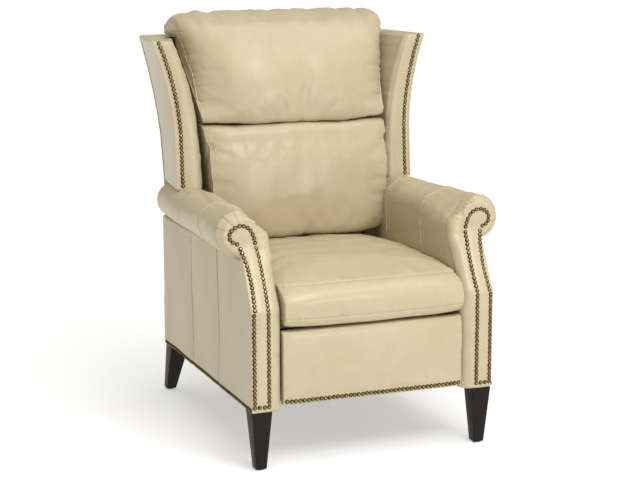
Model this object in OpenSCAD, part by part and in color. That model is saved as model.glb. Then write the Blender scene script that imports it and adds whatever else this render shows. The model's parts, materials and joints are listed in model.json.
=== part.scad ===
// Wingback recliner with scroll arms, turned out in leather with nail head trim.
// Millimetres. X runs across the chair, the sitter faces -Y, Z is up and the floor is at zero.
// Places along Y are measured from the front of the arms and then moved to the chair's middle.

/* [Legs] */
// Height of the body above the floor
leg_h = 160; // [140:1:180]
// Width of a leg at its top
leg_top_w = 55; // [48:1:56]
// Width of a leg at the floor
leg_foot_w = 30; // [24:1:40]
// Distance that the rear legs splay backward
rear_splay = 88; // [60:1:95]
// Radius of a glide under a leg
glide_r = 11; // [8:0.5:12]
// Thickness of a glide
glide_h = 3; // [2:0.5:4]

/* [Arms] */
// Clear width between the arms
seat_w = 514; // [480:1:560]
// Thickness of an arm below its roll
arm_w = 88; // [84:1:100]
// Height of the upright part of the arm front
arm_front_h = 265; // [250:1:275]
// Height over which the arm front leans back
arm_lean_h = 158; // [150:1:165]
// Distance that the scroll sits behind the arm front
scroll_setback = 85; // [70:1:95]
// Radius of the arm roll at the front
roll_front_r = 61; // [56:0.5:64]
// Radius of the arm roll at the rear
roll_rear_r = 52; // [48:0.5:54]
// Height of the roll's centre line above the body's underside at the front
roll_z = 453; // [450:1:458]
// Distance that the roll's centre drops toward the rear
roll_drop = 8; // [0:1:12]
// Distance from the arm's inner face to the roll's centre line
roll_x = 86; // [80:1:88]
// Distance that the roll's centre moves inward toward the rear
roll_toe_in = 20; // [10:1:24]
// Height of the crease under the roll above the body's underside
crease_h = 392; // [384:1:396]
// Depth of the bevel on the inner front corner of an arm
bevel_d = 28; // [18:1:30]
// Width of the bevel on the inner front corner of an arm
bevel_w = 36; // [28:1:38]
// Padding and cover over the arm frame
padding = 13; // [10:0.5:16]
// Thickness of the side panels
side_t = 10; // [8:0.5:12]

/* [Seat] */
// Height of the seat cushion's underside above the body's underside
seat_h = 218; // [214:1:222]
// Thickness of the seat cushion at its side seam
seat_t = 99; // [92:1:104]
// Extra height of the seat cushion's crown
seat_crown = 38; // [20:1:40]
// Length of the seat cushion behind the arm front
seat_len = 600; // [570:1:610]
// Distance that the seat cushion stands in front of the arm front
seat_nose = 15; // [8:1:20]
// Forward travel of the seat
seat_travel = 90; // [70:1:95]
// Upward slope of the seat's travel in degrees
seat_slope = 2.5; // [0:0.5:3]

/* [Footrest] */
// Height of the footrest panel
rest_h = 196; // [180:1:197]
// Height of the footrest panel's lower edge above the body's underside
rest_z = 9; // [8:1:14]
// Thickness of the footrest padding
rest_pad_t = 25; // [20:1:28]
// Thickness of the footrest board
rest_board_t = 15; // [12:1:16]
// Distance between the end pivots of a scissor link
link_len = 176; // [170:1:177]
// Angle of the closed links from level in degrees
link_closed_deg = 82; // [81:0.5:82]
// Width of a scissor link
link_w = 22; // [18:1:22]
// Thickness of the mechanism's steel
steel_t = 4; // [3:0.5:4]
// Radius of the mechanism's rivets
rivet_r = 4; // [3:0.25:4.5]

/* [Back] */
// Height of the back pivot above the body's underside
pivot_h = 175; // [170:1:180]
// Distance of the back pivot in front of the outside back
pivot_in = 23; // [19:1:24]
// Radius of the back pivot pins
pivot_r = 5; // [4:0.25:6]
// Lean of the back frame in degrees
back_lean = 8; // [6:0.5:9]
// Distance from the seat cushion's rear to the back frame's face, at the top of the seat
frame_gap = 90; // [86:1:94]
// Height of the wings and outside back above the body's underside
back_h = 916; // [890:1:930]
// Lean of the outside back in degrees
outside_lean = 9.3; // [9:0.1:10]
// Distance from the back frame's face to the outside back, where it meets the arms
back_d = 93; // [91:1:95]
// Thickness of the outside back
outside_t = 14; // [10:1:16]
// Height of the crease between the two back cushions above the body's underside
pillow_z = 677; // [665:1:690]
// Height of the head cushion's top above the wings
head_rise = 79; // [60:1:90]
// Distance that the wings' foot stands in front of the back frame's face
wing_reach = 113; // [105:1:125]
// Distance that a wing stands outside the body at its foot
wing_out = 17; // [12:1:20]
// Extra width of a wing at its top
wing_flare = 56; // [40:1:60]
// Width of a wing's front face at its foot
wing_face_w = 79; // [70:1:80]
// Width of a wing's front face at its top
wing_face_top_w = 62; // [55:1:64]

/* [Trim] */
// Radius of a nail head
nail_r = 5.5; // [4:0.25:5.75]
// Height of a nail head
nail_h = 3; // [2:0.25:4]
// Spacing of the nail heads
nail_pitch = 11.6; // [11.6:0.2:16]

/* [Hidden] */

// Clearances and overruns
fit_gap = 0.05;   // radial, between a pin and its bore
seat_gap = 0.3;   // between pieces that rest on each other or slide
cut = 5;          // overrun of a cut
round_fn = 48;

// Colours
leather = [0.86, 0.80, 0.68];
espresso = [0.10, 0.06, 0.05];
pine = [0.80, 0.65, 0.45];
steel = [0.45, 0.46, 0.48];
brass = [0.36, 0.28, 0.20];
nylon = [0.15, 0.15, 0.16];
webbing = [0.30, 0.30, 0.30];

// Widths from the middle of the chair
inner_x = seat_w / 2;
side_x = inner_x + arm_w;
panel_x = side_x - side_t;
cavity_x = inner_x + padding;

// Places along the chair, from the arm front
frame_y = seat_len + frame_gap;
outside_y = frame_y + back_d;
pivot_y = outside_y - pivot_in;
arm_rear_gap = 12;
arm_len = pivot_y - arm_rear_gap;
side_over = 7;
side_len = outside_y + side_over;
wing_y = frame_y - wing_reach;

// Heights
front_top_z = leg_h + arm_front_h;
scroll_z = front_top_z + arm_lean_h;
crease_z = leg_h + crease_h;
roll_front_z = leg_h + roll_z;
deck_top_z = leg_h + seat_h - seat_gap;
pivot_z = leg_h + pivot_h;
cushion_gap = 3;
frame_z = leg_h + seat_h + seat_t + seat_crown - cushion_gap;
wing_top_z = leg_h + back_h;
crease_gap = 2;
pillow_seam_z = leg_h + pillow_z;
head_top_z = wing_top_z + head_rise;

// Slope of the arm front
slope_deg = atan(scroll_setback / arm_lean_h);
function front_y(z) = max(0, min(scroll_setback, (z - front_top_z) * tan(slope_deg)));

// Wood sizes of the base
post_d = 45;
rail_w = 28;
rail_bottom = 5;
rail_top_gap = 16;
rail_top_z = leg_h + seat_h - rail_top_gap;
rail_rear_gap = 3.5;
rear_post_h = 150;
rear_rail_t = 22;
stretcher_y = 300;
stretcher_h = 70;

// The arm roll
roll_start = [inner_x + roll_x, scroll_setback, roll_front_z];
roll_end = [inner_x + roll_x - roll_toe_in, arm_len, roll_front_z - roll_drop];
roll_len = norm(roll_end - roll_start);
roll_round = 17;
inner_roll_r = 57;
wing_clear = 1.5;
wing_foot_z = roll_front_z - roll_drop + roll_rear_r;

// Mechanism planes, counted inward from the arm
plane_gap = 1;
track_d = 16;
track_t = 3;
track_h = 36;
track_y = 150;
track_len = 425;
track_below_pivot = 35;
track_mid_z = leg_h + pivot_h - track_below_pivot;
plate_x = inner_x - track_d - plane_gap - steel_t;
plane_pitch = steel_t + plane_gap;
link_a_x = plate_x - plane_pitch;
link_b_x = link_a_x - plane_pitch;
bracket_x = link_b_x - 2 * plane_pitch;

// Scissor pivots, as [y, z], with the footrest closed
closed_step = link_len * cos(link_closed_deg);
closed_drop = link_len * sin(link_closed_deg);
hub_y = 133;
hub_z = leg_h + seat_h - link_w * 1.5;
open_deg = 20;
hub = [hub_y, hub_z];
slider = [hub_y, hub_z - closed_drop];
knee_low = [hub_y - closed_step, hub_z - closed_drop];
knee_high = [hub_y - closed_step, hub_z];
tip_low = [hub_y - 2 * closed_step, hub_z - closed_drop];
tip_high = [hub_y - 2 * closed_step, hub_z];
cross_1 = (hub + knee_low) / 2;
cross_2 = (knee_low + tip_high) / 2;
tube_r = 9;
tube_bore_r = 5;

// Seat frame
plate_front_d = 15;
plate_front_y = hub_y - plate_front_d;
plate_over = 20;
plate_rear_y = seat_len + plate_over;
plate_ear_w = 32;
plate_body_h = 110;
seat_rail_w = 26;
seat_rail_h = 38;
deck_t = 18;
seat_rail_top_z = deck_top_z - deck_t;
seat_rail_y = 60;
spring_t = 3;
spring_w = 42;
spring_pitch = 30;

// Footrest
rest_front_y = 3;
rest_x = inner_x - seat_gap * 3;
rest_back_y = rest_front_y + rest_pad_t;
rest_round = 9;
flange_w = 20;

// Back frame
post_w = 35;
frame_d = 45;
frame_side_gap = 7;
frame_side_x = inner_x - frame_side_gap;
frame_foot_gap = 10;
frame_foot_z = pivot_z + frame_foot_gap;
frame_top_gap = 4;
function frame_face(z) = frame_y + (z - frame_z) * tan(back_lean);
function outside_face(z) = outside_y + max(0, z - tail_z) * tan(outside_lean);
tail_drop = 57;
tail_z = wing_foot_z - tail_drop;
frame_len = (wing_top_z - frame_top_gap - frame_foot_z) / cos(back_lean);
back_rail_h = 40;
bracket_t = 4;

// Wings
wing_lean = 4.1;
wing_round = 12;
wing_levels = 8;
wing_straight_share = 0.34;
wing_foot_half = frame_side_x + seat_gap;
function wing_share(z) = (z - wing_foot_z) / (wing_top_z - wing_foot_z);
function flare_share(z) = max(0, (wing_share(z) - wing_straight_share) / (1 - wing_straight_share));
function wing_outer(z) = side_x + wing_out + wing_flare * pow(flare_share(z), 1.9);
function wing_face(z) = wing_face_w + (wing_face_top_w - wing_face_w) * wing_share(z);
function wing_front(z) = wing_y + (z - wing_foot_z) * tan(wing_lean);
wing_rear_in = 9;
wing_rear_spread = 8;
wing_rear_flare = 40;
wing_rear_share = 0.28;
function wing_rear(z) = let (s = max(0, wing_share(z)),
                            flare = max(0, (s - wing_rear_share) / (1 - wing_rear_share)))
    side_x - wing_rear_in + wing_rear_spread * s + wing_rear_flare * pow(flare, 1.6);

// Cushions
lumbar_low_w = 248;
lumbar_top_w = 275;
lumbar_d = 176;
lumbar_front_y = frame_y - lumbar_d;
lumbar_foot_z = frame_z - crease_gap;
head_low_w = 270;
head_top_w = 324;
head_d = 142;
head_front_y = frame_y - head_d;
head_rear_y = outside_face(wing_top_z) - crease_gap * 4;
cushion_stations = 20;
function lumbar_half(z) = lumbar_low_w
    + (lumbar_top_w - lumbar_low_w) * (z - lumbar_foot_z) / (pillow_seam_z - lumbar_foot_z);
function head_half(z) = head_low_w
    + (head_top_w - head_low_w) * (z - pillow_seam_z) / (head_top_z - pillow_seam_z);
function cushion_half(z) = max(lumbar_half(min(z, pillow_seam_z)), head_half(z));

// The chair's middle, so that the origin lies under the centre of the whole
front_edge_y = -seat_nose;
rear_edge_y = outside_face(wing_top_z) + outside_t / cos(outside_lean);
mid_y = (front_edge_y + rear_edge_y) / 2;

// Placing
module placed(tint) color(tint) translate([0, -mid_y, 0]) children();

module mirrored(side) mirror([side < 0 ? 1 : 0, 0, 0]) children();

module both() for (side = [1, -1]) mirrored(side) children();

// A side outline of [y, z] points, from one X to another
module slab(outline, x0, x1) translate([x0, 0, 0]) rotate([90, 0, 90]) linear_extrude(x1 - x0) polygon(outline);

// A box between two corners
module box(low, high) translate(low) cube(high - low);

// A rod along X through a [y, z] point
module rod(at, r, x0, x1)
    translate([x0, at[0], at[1]]) rotate([0, 90, 0]) cylinder(r = r, h = x1 - x0, $fn = round_fn);

// A flat bar between two pivots, with holes
module bar(a, b, holes, x0) {
    along = (b - a) / norm(b - a);
    across = [-along[1], along[0]] * link_w / 2;
    difference() {
        union() {
            slab([a + across, b + across, b - across, a - across], x0, x0 + steel_t);
            for (end = [a, b]) rod(end, link_w / 2, x0, x0 + steel_t);
        }
        for (hole = holes) rod(hole, rivet_r + fit_gap, x0 - cut, x0 + steel_t + cut);
    }
}

// A smooth curve's point between b and c, and a curve through points with a few steps between each two
function curve_point(a, b, c, d, t) = (2 * b + (c - a) * t + (2 * a - 5 * b + 4 * c - d) * t * t
    + (3 * b - a - 3 * c + d) * t * t * t) / 2;
function smooth(p, steps) = let (last = len(p) - 1) concat(
    [for (i = [0 : last - 1], k = [0 : steps - 1])
        curve_point(p[max(i - 1, 0)], p[i], p[i + 1], p[min(i + 2, last)], k / steps)],
    [p[last]]);

// A closed skin through rings of points, with a point in each end, by itself in the middle
module skin(rings, hearts = []) {
    size = len(rings[0]);
    count = len(rings);
    ends = len(hearts) > 0 ? hearts : [for (ring = [rings[0], rings[count - 1]]) sum(ring) / size];
    polyhedron(
        points = concat([for (ring = rings) each ring], ends),
        faces = concat(
            [for (i = [0 : count - 2], j = [0 : size - 1]) let (k = (j + 1) % size)
                each [[i * size + j, i * size + k, (i + 1) * size + k],
                      [i * size + j, (i + 1) * size + k, (i + 1) * size + j]]],
            [for (j = [0 : size - 1]) let (k = (j + 1) % size) [count * size, k, j]],
            [for (j = [0 : size - 1]) let (k = (j + 1) % size)
                [count * size + 1, (count - 1) * size + j, (count - 1) * size + k]]),
        convexity = 8);
}
function sum(list) = [for (item = list) 1] * list;

// A cushion: its side outline and its middle outline, blended across its width, and its ends' [y, z] point
module cushion(middle, edge, half, heart) {
    function crown(s) = pow(max(0, 1 - pow(abs(s), 2.6)), 0.62);
    skin([for (i = [0 : cushion_stations]) let (s = -cos(180 * i / cushion_stations))
        [for (k = [0 : len(middle) - 1]) let (p = edge[k] + (middle[k] - edge[k]) * crown(s))
            [s * half(p[1]), p[0], p[1]]]],
        [for (s = [-1, 1]) [s * half(heart[1]), heart[0], heart[1]]]);
}

// Nail heads

// One nail head, its flat back on the surface that leans back by the given angle
module nail(at, lean) translate(at) rotate([90 - lean, 0, 0]) nail_dome();

module nail_dome() rotate_extrude($fn = 20)
    polygon([[0, 0], [nail_r, 0], [nail_r * 0.75, nail_h * 0.7], [0, nail_h]]);

// Legs

leg_side_gap = 2;
leg_edge = side_x - leg_side_gap;
leg_front_y = 2;
leg_rear_gap = 2;
rear_leg_y = side_len - leg_top_w - leg_rear_gap;

// A tapered leg cut from two profiles, its foot moved back by the splay
module leg(y, splay) {
    inset = (leg_top_w - leg_foot_w) / 2;
    intersection() {
        translate([0, y, 0]) rotate([90, 0, 0]) translate([0, 0, -leg_top_w * 4]) linear_extrude(leg_top_w * 8)
            polygon([[leg_edge, leg_h], [leg_edge - leg_top_w, leg_h],
                     [leg_edge - leg_top_w + inset, glide_h], [leg_edge - inset, glide_h]]);
        slab([[y, leg_h], [y + leg_top_w, leg_h],
              [y + leg_top_w - inset + splay, glide_h], [y + inset + splay, glide_h]], 0, side_x + cut);
    }
}

bolt_r = 4;
bolt_len = 60;
bolt_x = leg_edge - leg_top_w / 2;
front_bolt_y = leg_front_y + leg_top_w / 2;
rear_bolt_y = rear_leg_y + leg_top_w / 2;
module bolt_holes(y) translate([bolt_x, y, leg_h - bolt_len / 2 - seat_gap])
    cylinder(r = bolt_r + fit_gap, h = bolt_len + 2 * seat_gap, $fn = round_fn);

module front_leg(side) placed(espresso) mirrored(side) difference() {
    leg(leg_front_y, 0);
    bolt_holes(front_bolt_y);
}
module rear_leg(side) placed(espresso) mirrored(side) difference() {
    leg(rear_leg_y, rear_splay);
    bolt_holes(rear_bolt_y);
}
module leg_front_left() front_leg(1);
module leg_front_right() front_leg(-1);
module leg_rear_left() rear_leg(1);
module leg_rear_right() rear_leg(-1);

module leg_glides() placed(nylon) both() for (y = [front_bolt_y, rear_bolt_y + rear_splay])
    translate([bolt_x, y, 0]) cylinder(r = glide_r, h = glide_h, $fn = round_fn);

module leg_bolts() placed(steel) both() for (y = [front_bolt_y, rear_bolt_y])
    translate([bolt_x, y, leg_h - bolt_len / 2]) cylinder(r = bolt_r, h = bolt_len, $fn = round_fn);

// Arms

// The arm's side outline from one height to another, set back from its front
function arm_outline(inset, low, high, rear) = concat(
    [[inset, low]],
    front_top_z < high ? [[inset, front_top_z]] : [],
    scroll_z < high ? [[scroll_setback + inset, scroll_z]] : [],
    [[front_y(high) + inset, high], [rear, high], [rear, low]]);

module roll() {
    turn = [-atan2(roll_end[2] - roll_start[2], roll_end[1] - roll_start[1]),
            -atan2(roll_end[0] - roll_start[0], roll_end[1] - roll_start[1])];
    translate(roll_start) rotate([-90 - turn[0], 0, turn[1]]) {
        cylinder(r1 = roll_front_r - roll_round, r2 = roll_front_r, h = roll_round, $fn = round_fn * 2);
        translate([0, 0, roll_round])
            cylinder(r1 = roll_front_r, r2 = roll_rear_r, h = roll_len - roll_round, $fn = round_fn * 2);
    }
}

// The space in an arm that holds its frame, from the outer side in to the given X
module arm_space(x, inset)
    slab(arm_outline(inset, leg_h - cut, crease_z, arm_len - rail_rear_gap), x, side_x + cut);

// The bevel at the inner front, at a height
function bevel_ring(z) = let (y = front_y(z))
    [[inner_x - cut, y + bevel_d, z], [inner_x, y + bevel_d, z], [inner_x + bevel_w, y, z],
     [inner_x + bevel_w, y - cut, z], [inner_x - cut, y - cut, z]];

inner_roll_z = roll_front_z - roll_drop;
bevel_lap = 3;
post_x = inner_x + bevel_w - bevel_lap;
module arm(side) placed(leather) mirrored(side) difference() {
    union() {
        slab(arm_outline(0, leg_h, scroll_z, arm_len), inner_x, side_x);
        roll();
        // the inner side, running smoothly into the top
        slab(arm_outline(0, leg_h, inner_roll_z, arm_len), inner_x, inner_x + inner_roll_r);
        translate([inner_x + inner_roll_r, scroll_setback, inner_roll_z]) rotate([-90, 0, 0])
            cylinder(r = inner_roll_r, h = arm_len - scroll_setback, $fn = round_fn * 2);
    }
    skin([for (z = [leg_h - cut, front_top_z, scroll_z, head_top_z]) bevel_ring(z)]);
    arm_space(post_x, padding);
    slab(arm_outline(padding, leg_h - cut, crease_z, arm_len + cut), panel_x, side_x + cut);
    // the scroll's flat face
    box([0, -cut, scroll_z], [side_x * 2, scroll_setback, head_top_z]);
    arm_space(cavity_x, post_d + padding + seat_gap);
    // room for the side rail
    box([inner_x - cut, seat_rail_y, leg_h - cut],
        [side_x + cut, arm_len - rail_rear_gap, rail_top_z + seat_gap]);
    // the seat of the wing on the padded roll
    box([0, wing_y - wing_clear, wing_foot_z - wing_clear], [side_x * 2, arm_len + cut, head_top_z]);
}
module arm_left() arm(1);
module arm_right() arm(-1);

module side_panel(side) placed(leather) mirrored(side) difference() {
    slab(arm_outline(padding, leg_h, crease_z, side_len), panel_x, side_x);
    box([0, arm_len - rail_rear_gap, crease_z - crease_gap], [side_x + cut, side_len + cut, crease_z + cut]);
}
module side_panel_left() side_panel(1);
module side_panel_right() side_panel(-1);

// A board that follows the arm front and carries the leg
module front_posts() placed(pine) both() difference() {
    slab(concat([[padding, leg_h], [padding, front_top_z], [front_y(crease_z) + padding, crease_z],
                 [front_y(crease_z) + padding + post_d, crease_z],
                 [padding + post_d, front_top_z], [padding + post_d, leg_h]]), post_x, panel_x);
    bolt_holes(front_bolt_y);
}

plates_x = frame_side_x + bracket_t + seat_gap;
rear_post_x = plates_x + bracket_t;
rear_gap = 1;
module rear_posts() placed(pine) both() difference() {
    box([rear_post_x, arm_len + rear_gap, leg_h], [panel_x, side_len - rear_gap, leg_h + rear_post_h]);
    bolt_holes(rear_bolt_y);
}

arm_rail_h = 30;
module arm_rails() placed(pine) both()
    box([post_x, front_y(crease_z) + padding + post_d, crease_z - arm_rail_h],
        [panel_x, arm_len - rail_rear_gap, crease_z]);

module side_rails() placed(pine) both()
    box([inner_x, seat_rail_y, leg_h + rail_bottom], [inner_x + rail_w, arm_len - rail_rear_gap, rail_top_z]);

module rear_rail() placed(pine)
    box([-inner_x, arm_len - rail_w, leg_h + rail_bottom],
        [inner_x, arm_len - rail_rear_gap, leg_h + plate_body_h]);

module front_stretcher() placed(pine)
    box([-inner_x, stretcher_y, leg_h + rail_bottom],
        [inner_x, stretcher_y + rear_rail_t, leg_h + rail_bottom + stretcher_h]);

panel_t = 6;
module rear_panel() placed(leather)
    box([-side_x, side_len, leg_h], [side_x, side_len + panel_t, leg_h + rear_post_h]);

// Channel on the arm's inner face that the seat's blocks run in
module along_travel() translate([0, track_y, track_mid_z]) rotate([-seat_slope, 0, 0]) children();
module tracks() placed(steel) both() along_travel() difference() {
    box([inner_x - track_d, 0, -track_h / 2], [inner_x, track_len, track_h / 2]);
    box([inner_x - track_d - cut, -cut, track_t - track_h / 2],
        [inner_x - track_t, track_len + cut, track_h / 2 - track_t]);
}

block_len = 60;
block_y = [100, 350];
module glide_blocks() placed(nylon) both() along_travel() for (y = block_y)
    box([plate_x + steel_t, y, track_t - track_h / 2 + seat_gap],
        [inner_x - track_t - seat_gap, y + block_len, track_h / 2 - track_t - seat_gap]);

// Back pivot on the base
pivot = [pivot_y, pivot_z];
plate_r = 12;
module back_pivot_plates() placed(steel) both() difference() {
    // low enough at the rear for the outside back's foot to pass as it turns
    sweep = outside_y + outside_t - pivot_y;
    union() {
        rod(pivot, plate_r, plates_x, plates_x + bracket_t);
        box([plates_x, arm_len + rear_gap, pivot_z - plate_body_h],
            [plates_x + bracket_t, pivot_y + plate_r, pivot_z]);
        box([plates_x, arm_len + rear_gap, pivot_z - plate_body_h],
            [plates_x + bracket_t, side_len - rear_gap, pivot_z - sweep]);
    }
    rod(pivot, pivot_r + fit_gap, plates_x - cut, plates_x + bracket_t + cut);
}

pin_head_r = 8;
module back_pivot_pins() placed(steel) both() union() {
    rod(pivot, pivot_r, frame_side_x, plates_x + bracket_t);
    rod(pivot, pin_head_r, frame_side_x - bracket_t, frame_side_x - seat_gap);
    rod(pivot, pivot_r, frame_side_x - bracket_t, frame_side_x);
}

// Nail trim on the arms

nail_edge = 8;
outer_row_x = side_x - nail_edge;
inner_row_edge = 5;
inner_row_x = inner_x + bevel_w + inner_row_edge;
low_nail_gap = 15;
low_nail_z = leg_h + low_nail_gap;
row_end_gap = 1;

// The rows on the slope, as shares of the arm's width and of the slope, and the loop on the scroll's face,
// as shares of the arm's width and of the roll's radius
outer_slope_shares = [[0.875, 0], [0.84, 0.25], [0.84, 0.5], [0.886, 0.75], [0.98, 1]];
inner_slope_shares = [[0.466, 0], [0.455, 0.25], [0.455, 0.5], [0.466, 0.75], [0.5, 1]];
loop_shares = [[1.08, -0.369], [1.239, -0.262], [1.307, -0.049], [1.25, 0.18], [1.125, 0.344], [0.966, 0.41],
               [0.807, 0.344], [0.67, 0.197], [0.58, -0.033], [0.523, -0.262], [0.511, -0.377]];

// Evenly spaced points on a path, and the path's length
function path_len(path) = sum([for (i = [1 : len(path) - 1]) norm(path[i] - path[i - 1])]);
function path_point(path, along, i = 0) = let (step = norm(path[i + 1] - path[i]))
    along <= step || i == len(path) - 2 ? path[i] + (path[i + 1] - path[i]) * along / step
                                        : path_point(path, along - step, i + 1);
function spaced(path, pitch) = let (count = round(path_len(path) / pitch))
    [for (i = [0 : count]) path_point(path, path_len(path) * i / count)];

// One row of nails up the arm front and its slope
module nail_column(x, slope_shares) {
    edge = nail_r + row_end_gap;
    foot = [0, front_top_z + edge * cos(slope_deg)];
    rise = arm_lean_h - 2 * edge * cos(slope_deg);
    for (p = spaced([[x, low_nail_z], [x, front_top_z - edge]], nail_pitch)) nail([p[0], 0, p[1]], 0);
    slope = smooth([for (p = slope_shares) foot + [inner_x + p[0] * arm_w, p[1] * rise]], 4);
    for (p = spaced(slope, nail_pitch * cos(slope_deg))) nail([p[0], front_y(p[1]), p[1]], slope_deg);
}

module nails_arm(side) placed(brass) mirrored(side) {
    nail_column(outer_row_x, outer_slope_shares);
    nail_column(inner_row_x, inner_slope_shares);
    loop = smooth([for (p = loop_shares) [inner_x + p[0] * arm_w, roll_front_z + p[1] * roll_front_r]], 4);
    for (p = spaced(loop, nail_pitch)) nail([p[0], scroll_setback, p[1]], 0);
    row = floor((outer_row_x - inner_row_x) / nail_pitch);
    for (i = [1 : row - 1])
        nail([inner_row_x + i * (outer_row_x - inner_row_x) / row, 0, low_nail_z], 0);
}
module nails_arm_left() nails_arm(1);
module nails_arm_right() nails_arm(-1);

module nails_side(side) placed(brass) mirrored(side) {
    count = floor((side_len - 2 * nail_edge) / nail_pitch);
    for (i = [0 : count])
        translate([side_x, nail_edge + i * nail_pitch, leg_h + nail_edge]) rotate([0, 90, 0]) nail_dome();
}
module nails_side_left() nails_side(1);
module nails_side_right() nails_side(-1);

// Seat

seat_low_z = leg_h + seat_h;
seam_z = seat_low_z + seat_t;
crown_z = seam_z + seat_crown;
seat_half_gap = 5;
seat_middle_shares = [[0.8, 0], [-0.6, 0.12], [-1, 0.34], [-0.5, 0.62], [1.6, 0.84], [6, 0.95]];
seat_edge_shares = [[0.8, 0], [-0.5, 0.10], [-0.4, 0.22], [0.4, 0.42], [2, 0.60], [5, 0.70]];

module seat_cushion() placed(leather) {
    tall = crown_z - seat_low_z;
    // the front's points, then the top's and the rear's
    outline = function (shares, rear) concat(
        smooth(concat([for (p = shares) [p[0] * seat_nose, seat_low_z + p[1] * tall]], rear), 2),
        [[seat_len, seat_low_z]]);
    cushion(
        outline(seat_middle_shares, [
            [seat_len * 0.48, crown_z], [seat_len * 0.8, crown_z - seat_crown * 0.2],
            [seat_len * 0.95, crown_z - seat_crown * 0.8], [seat_len, seat_low_z + tall / 2]]),
        outline(seat_edge_shares, [
            [seat_len * 0.48, seam_z], [seat_len * 0.8, seam_z],
            [seat_len * 0.95, seam_z - seat_t * 0.1], [seat_len, seat_low_z + seat_t * 0.4]]),
        function (z) inner_x - seat_half_gap, [seat_len / 2, seat_low_z + seat_t / 2]);
}

deck_gap = 7;
deck_half = inner_x - deck_gap;
module seat_deck() placed(webbing)
    box([-deck_half, seat_rail_y, seat_rail_top_z + spring_t + seat_gap], [deck_half, seat_len, deck_top_z]);

// A zigzag spring in a plane, its ends at zero and at the given length
module zigzag(length) {
    count = round(length / spring_pitch);
    rise = length / count;
    side = spring_t * 1.5;
    function turn(i, shift) = [(i % 2 == 0 ? -1 : 1) * spring_w / 2 + shift, i * rise];
    linear_extrude(spring_t) polygon(concat(
        [for (i = [0 : count]) turn(i, -side)],
        [for (i = [count : -1 : 0]) turn(i, side)]));
}

spring_xs = [-2, -1, 0, 1, 2];
module seat_springs() placed(steel) for (i = spring_xs)
    translate([i * seat_w / 7, seat_rail_y, seat_rail_top_z]) zigzag(seat_len - seat_rail_y - 2 * seat_gap);

rail_in_x = plate_x - plane_pitch * 5 - seat_rail_w;
tube_hole_gap = 1;
module seat_side_rails() placed(pine) both() difference() {
    union() {
        box([rail_in_x, seat_rail_y, seat_rail_top_z - seat_rail_h],
            [rail_in_x + seat_rail_w, seat_len, seat_rail_top_z]);
        box([rail_in_x, plate_front_y + plate_ear_w + link_w / 2, seat_rail_top_z - seat_rail_h],
            [plate_x, seat_len, seat_rail_top_z]);
    }
    rod(hub, tube_r + tube_hole_gap, 0, side_x);
}

module seat_cross_rails() placed(pine) for (y = [seat_rail_y, seat_len - seat_rail_w])
    box([-rail_in_x, y, seat_rail_top_z - seat_rail_h], [rail_in_x, y + seat_rail_w, seat_rail_top_z]);

plate_below = 20;
// Steel side plate with the hub's hole and the slider's slot
module seat_plates() placed(steel) both() difference() {
    body_z = leg_h + seat_h - plate_body_h - plate_below;
    slab([[plate_front_y, leg_h], [plate_front_y + plate_ear_w, leg_h],
          [plate_front_y + plate_ear_w, body_z], [plate_rear_y, body_z],
          [plate_rear_y, seat_rail_top_z], [plate_front_y, seat_rail_top_z]], plate_x, plate_x + steel_t);
    rod(hub, rivet_r + fit_gap, 0, side_x);
    slot_top = [hub_y, hub_z - link_len * sin(open_deg)];
    rod(slider, rivet_r + fit_gap * 2, 0, side_x);
    rod(slot_top, rivet_r + fit_gap * 2, 0, side_x);
    slab([slider - [rivet_r + fit_gap * 2, 0], slider + [rivet_r + fit_gap * 2, 0],
          slot_top + [rivet_r + fit_gap * 2, 0], slot_top - [rivet_r + fit_gap * 2, 0]], 0, side_x);
}

module seat_pins() placed(steel) both() rod(hub, rivet_r, link_a_x - plane_gap, plate_x + steel_t);

// Footrest scissors

module link_1() placed(steel) both() bar(hub, knee_low, [hub, knee_low, cross_1], link_a_x);
module link_2() placed(steel) both() bar(slider, knee_high, [slider, knee_high, cross_1], link_b_x);
module link_3() placed(steel) both() bar(knee_high, tip_low, [knee_high, cross_2], link_a_x);
module link_4() placed(steel) both() bar(knee_low, tip_high, [knee_low, tip_high, cross_2], link_b_x);
module torque_tube() placed(steel) difference() {
    rod(hub, tube_r, -link_a_x, link_a_x);
    rod(hub, tube_bore_r, -link_a_x - cut, link_a_x + cut);
}
module link_1_pins() placed(steel) both() for (at = [cross_1, knee_low])
    rod(at, rivet_r, link_b_x, link_a_x + steel_t);
module link_2_pins() placed(steel) both() {
    rod(knee_high, rivet_r, link_b_x, link_a_x + steel_t);
    rod(slider, rivet_r, link_b_x, plate_x + steel_t);
}
module link_4_pins() placed(steel) both() {
    rod(cross_2, rivet_r, link_b_x, link_a_x + steel_t);
    rod(tip_high, rivet_r, bracket_x, link_b_x + steel_t);
}

// Footrest panel

rest_low_z = leg_h + rest_z;
rest_top_z = rest_low_z + rest_h;
module footrest_board() placed(pine)
    box([-rest_x + rest_round, rest_back_y, rest_low_z + rest_round],
        [rest_x - rest_round, rest_back_y + rest_board_t, rest_top_z - rest_round / 2]);

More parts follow.
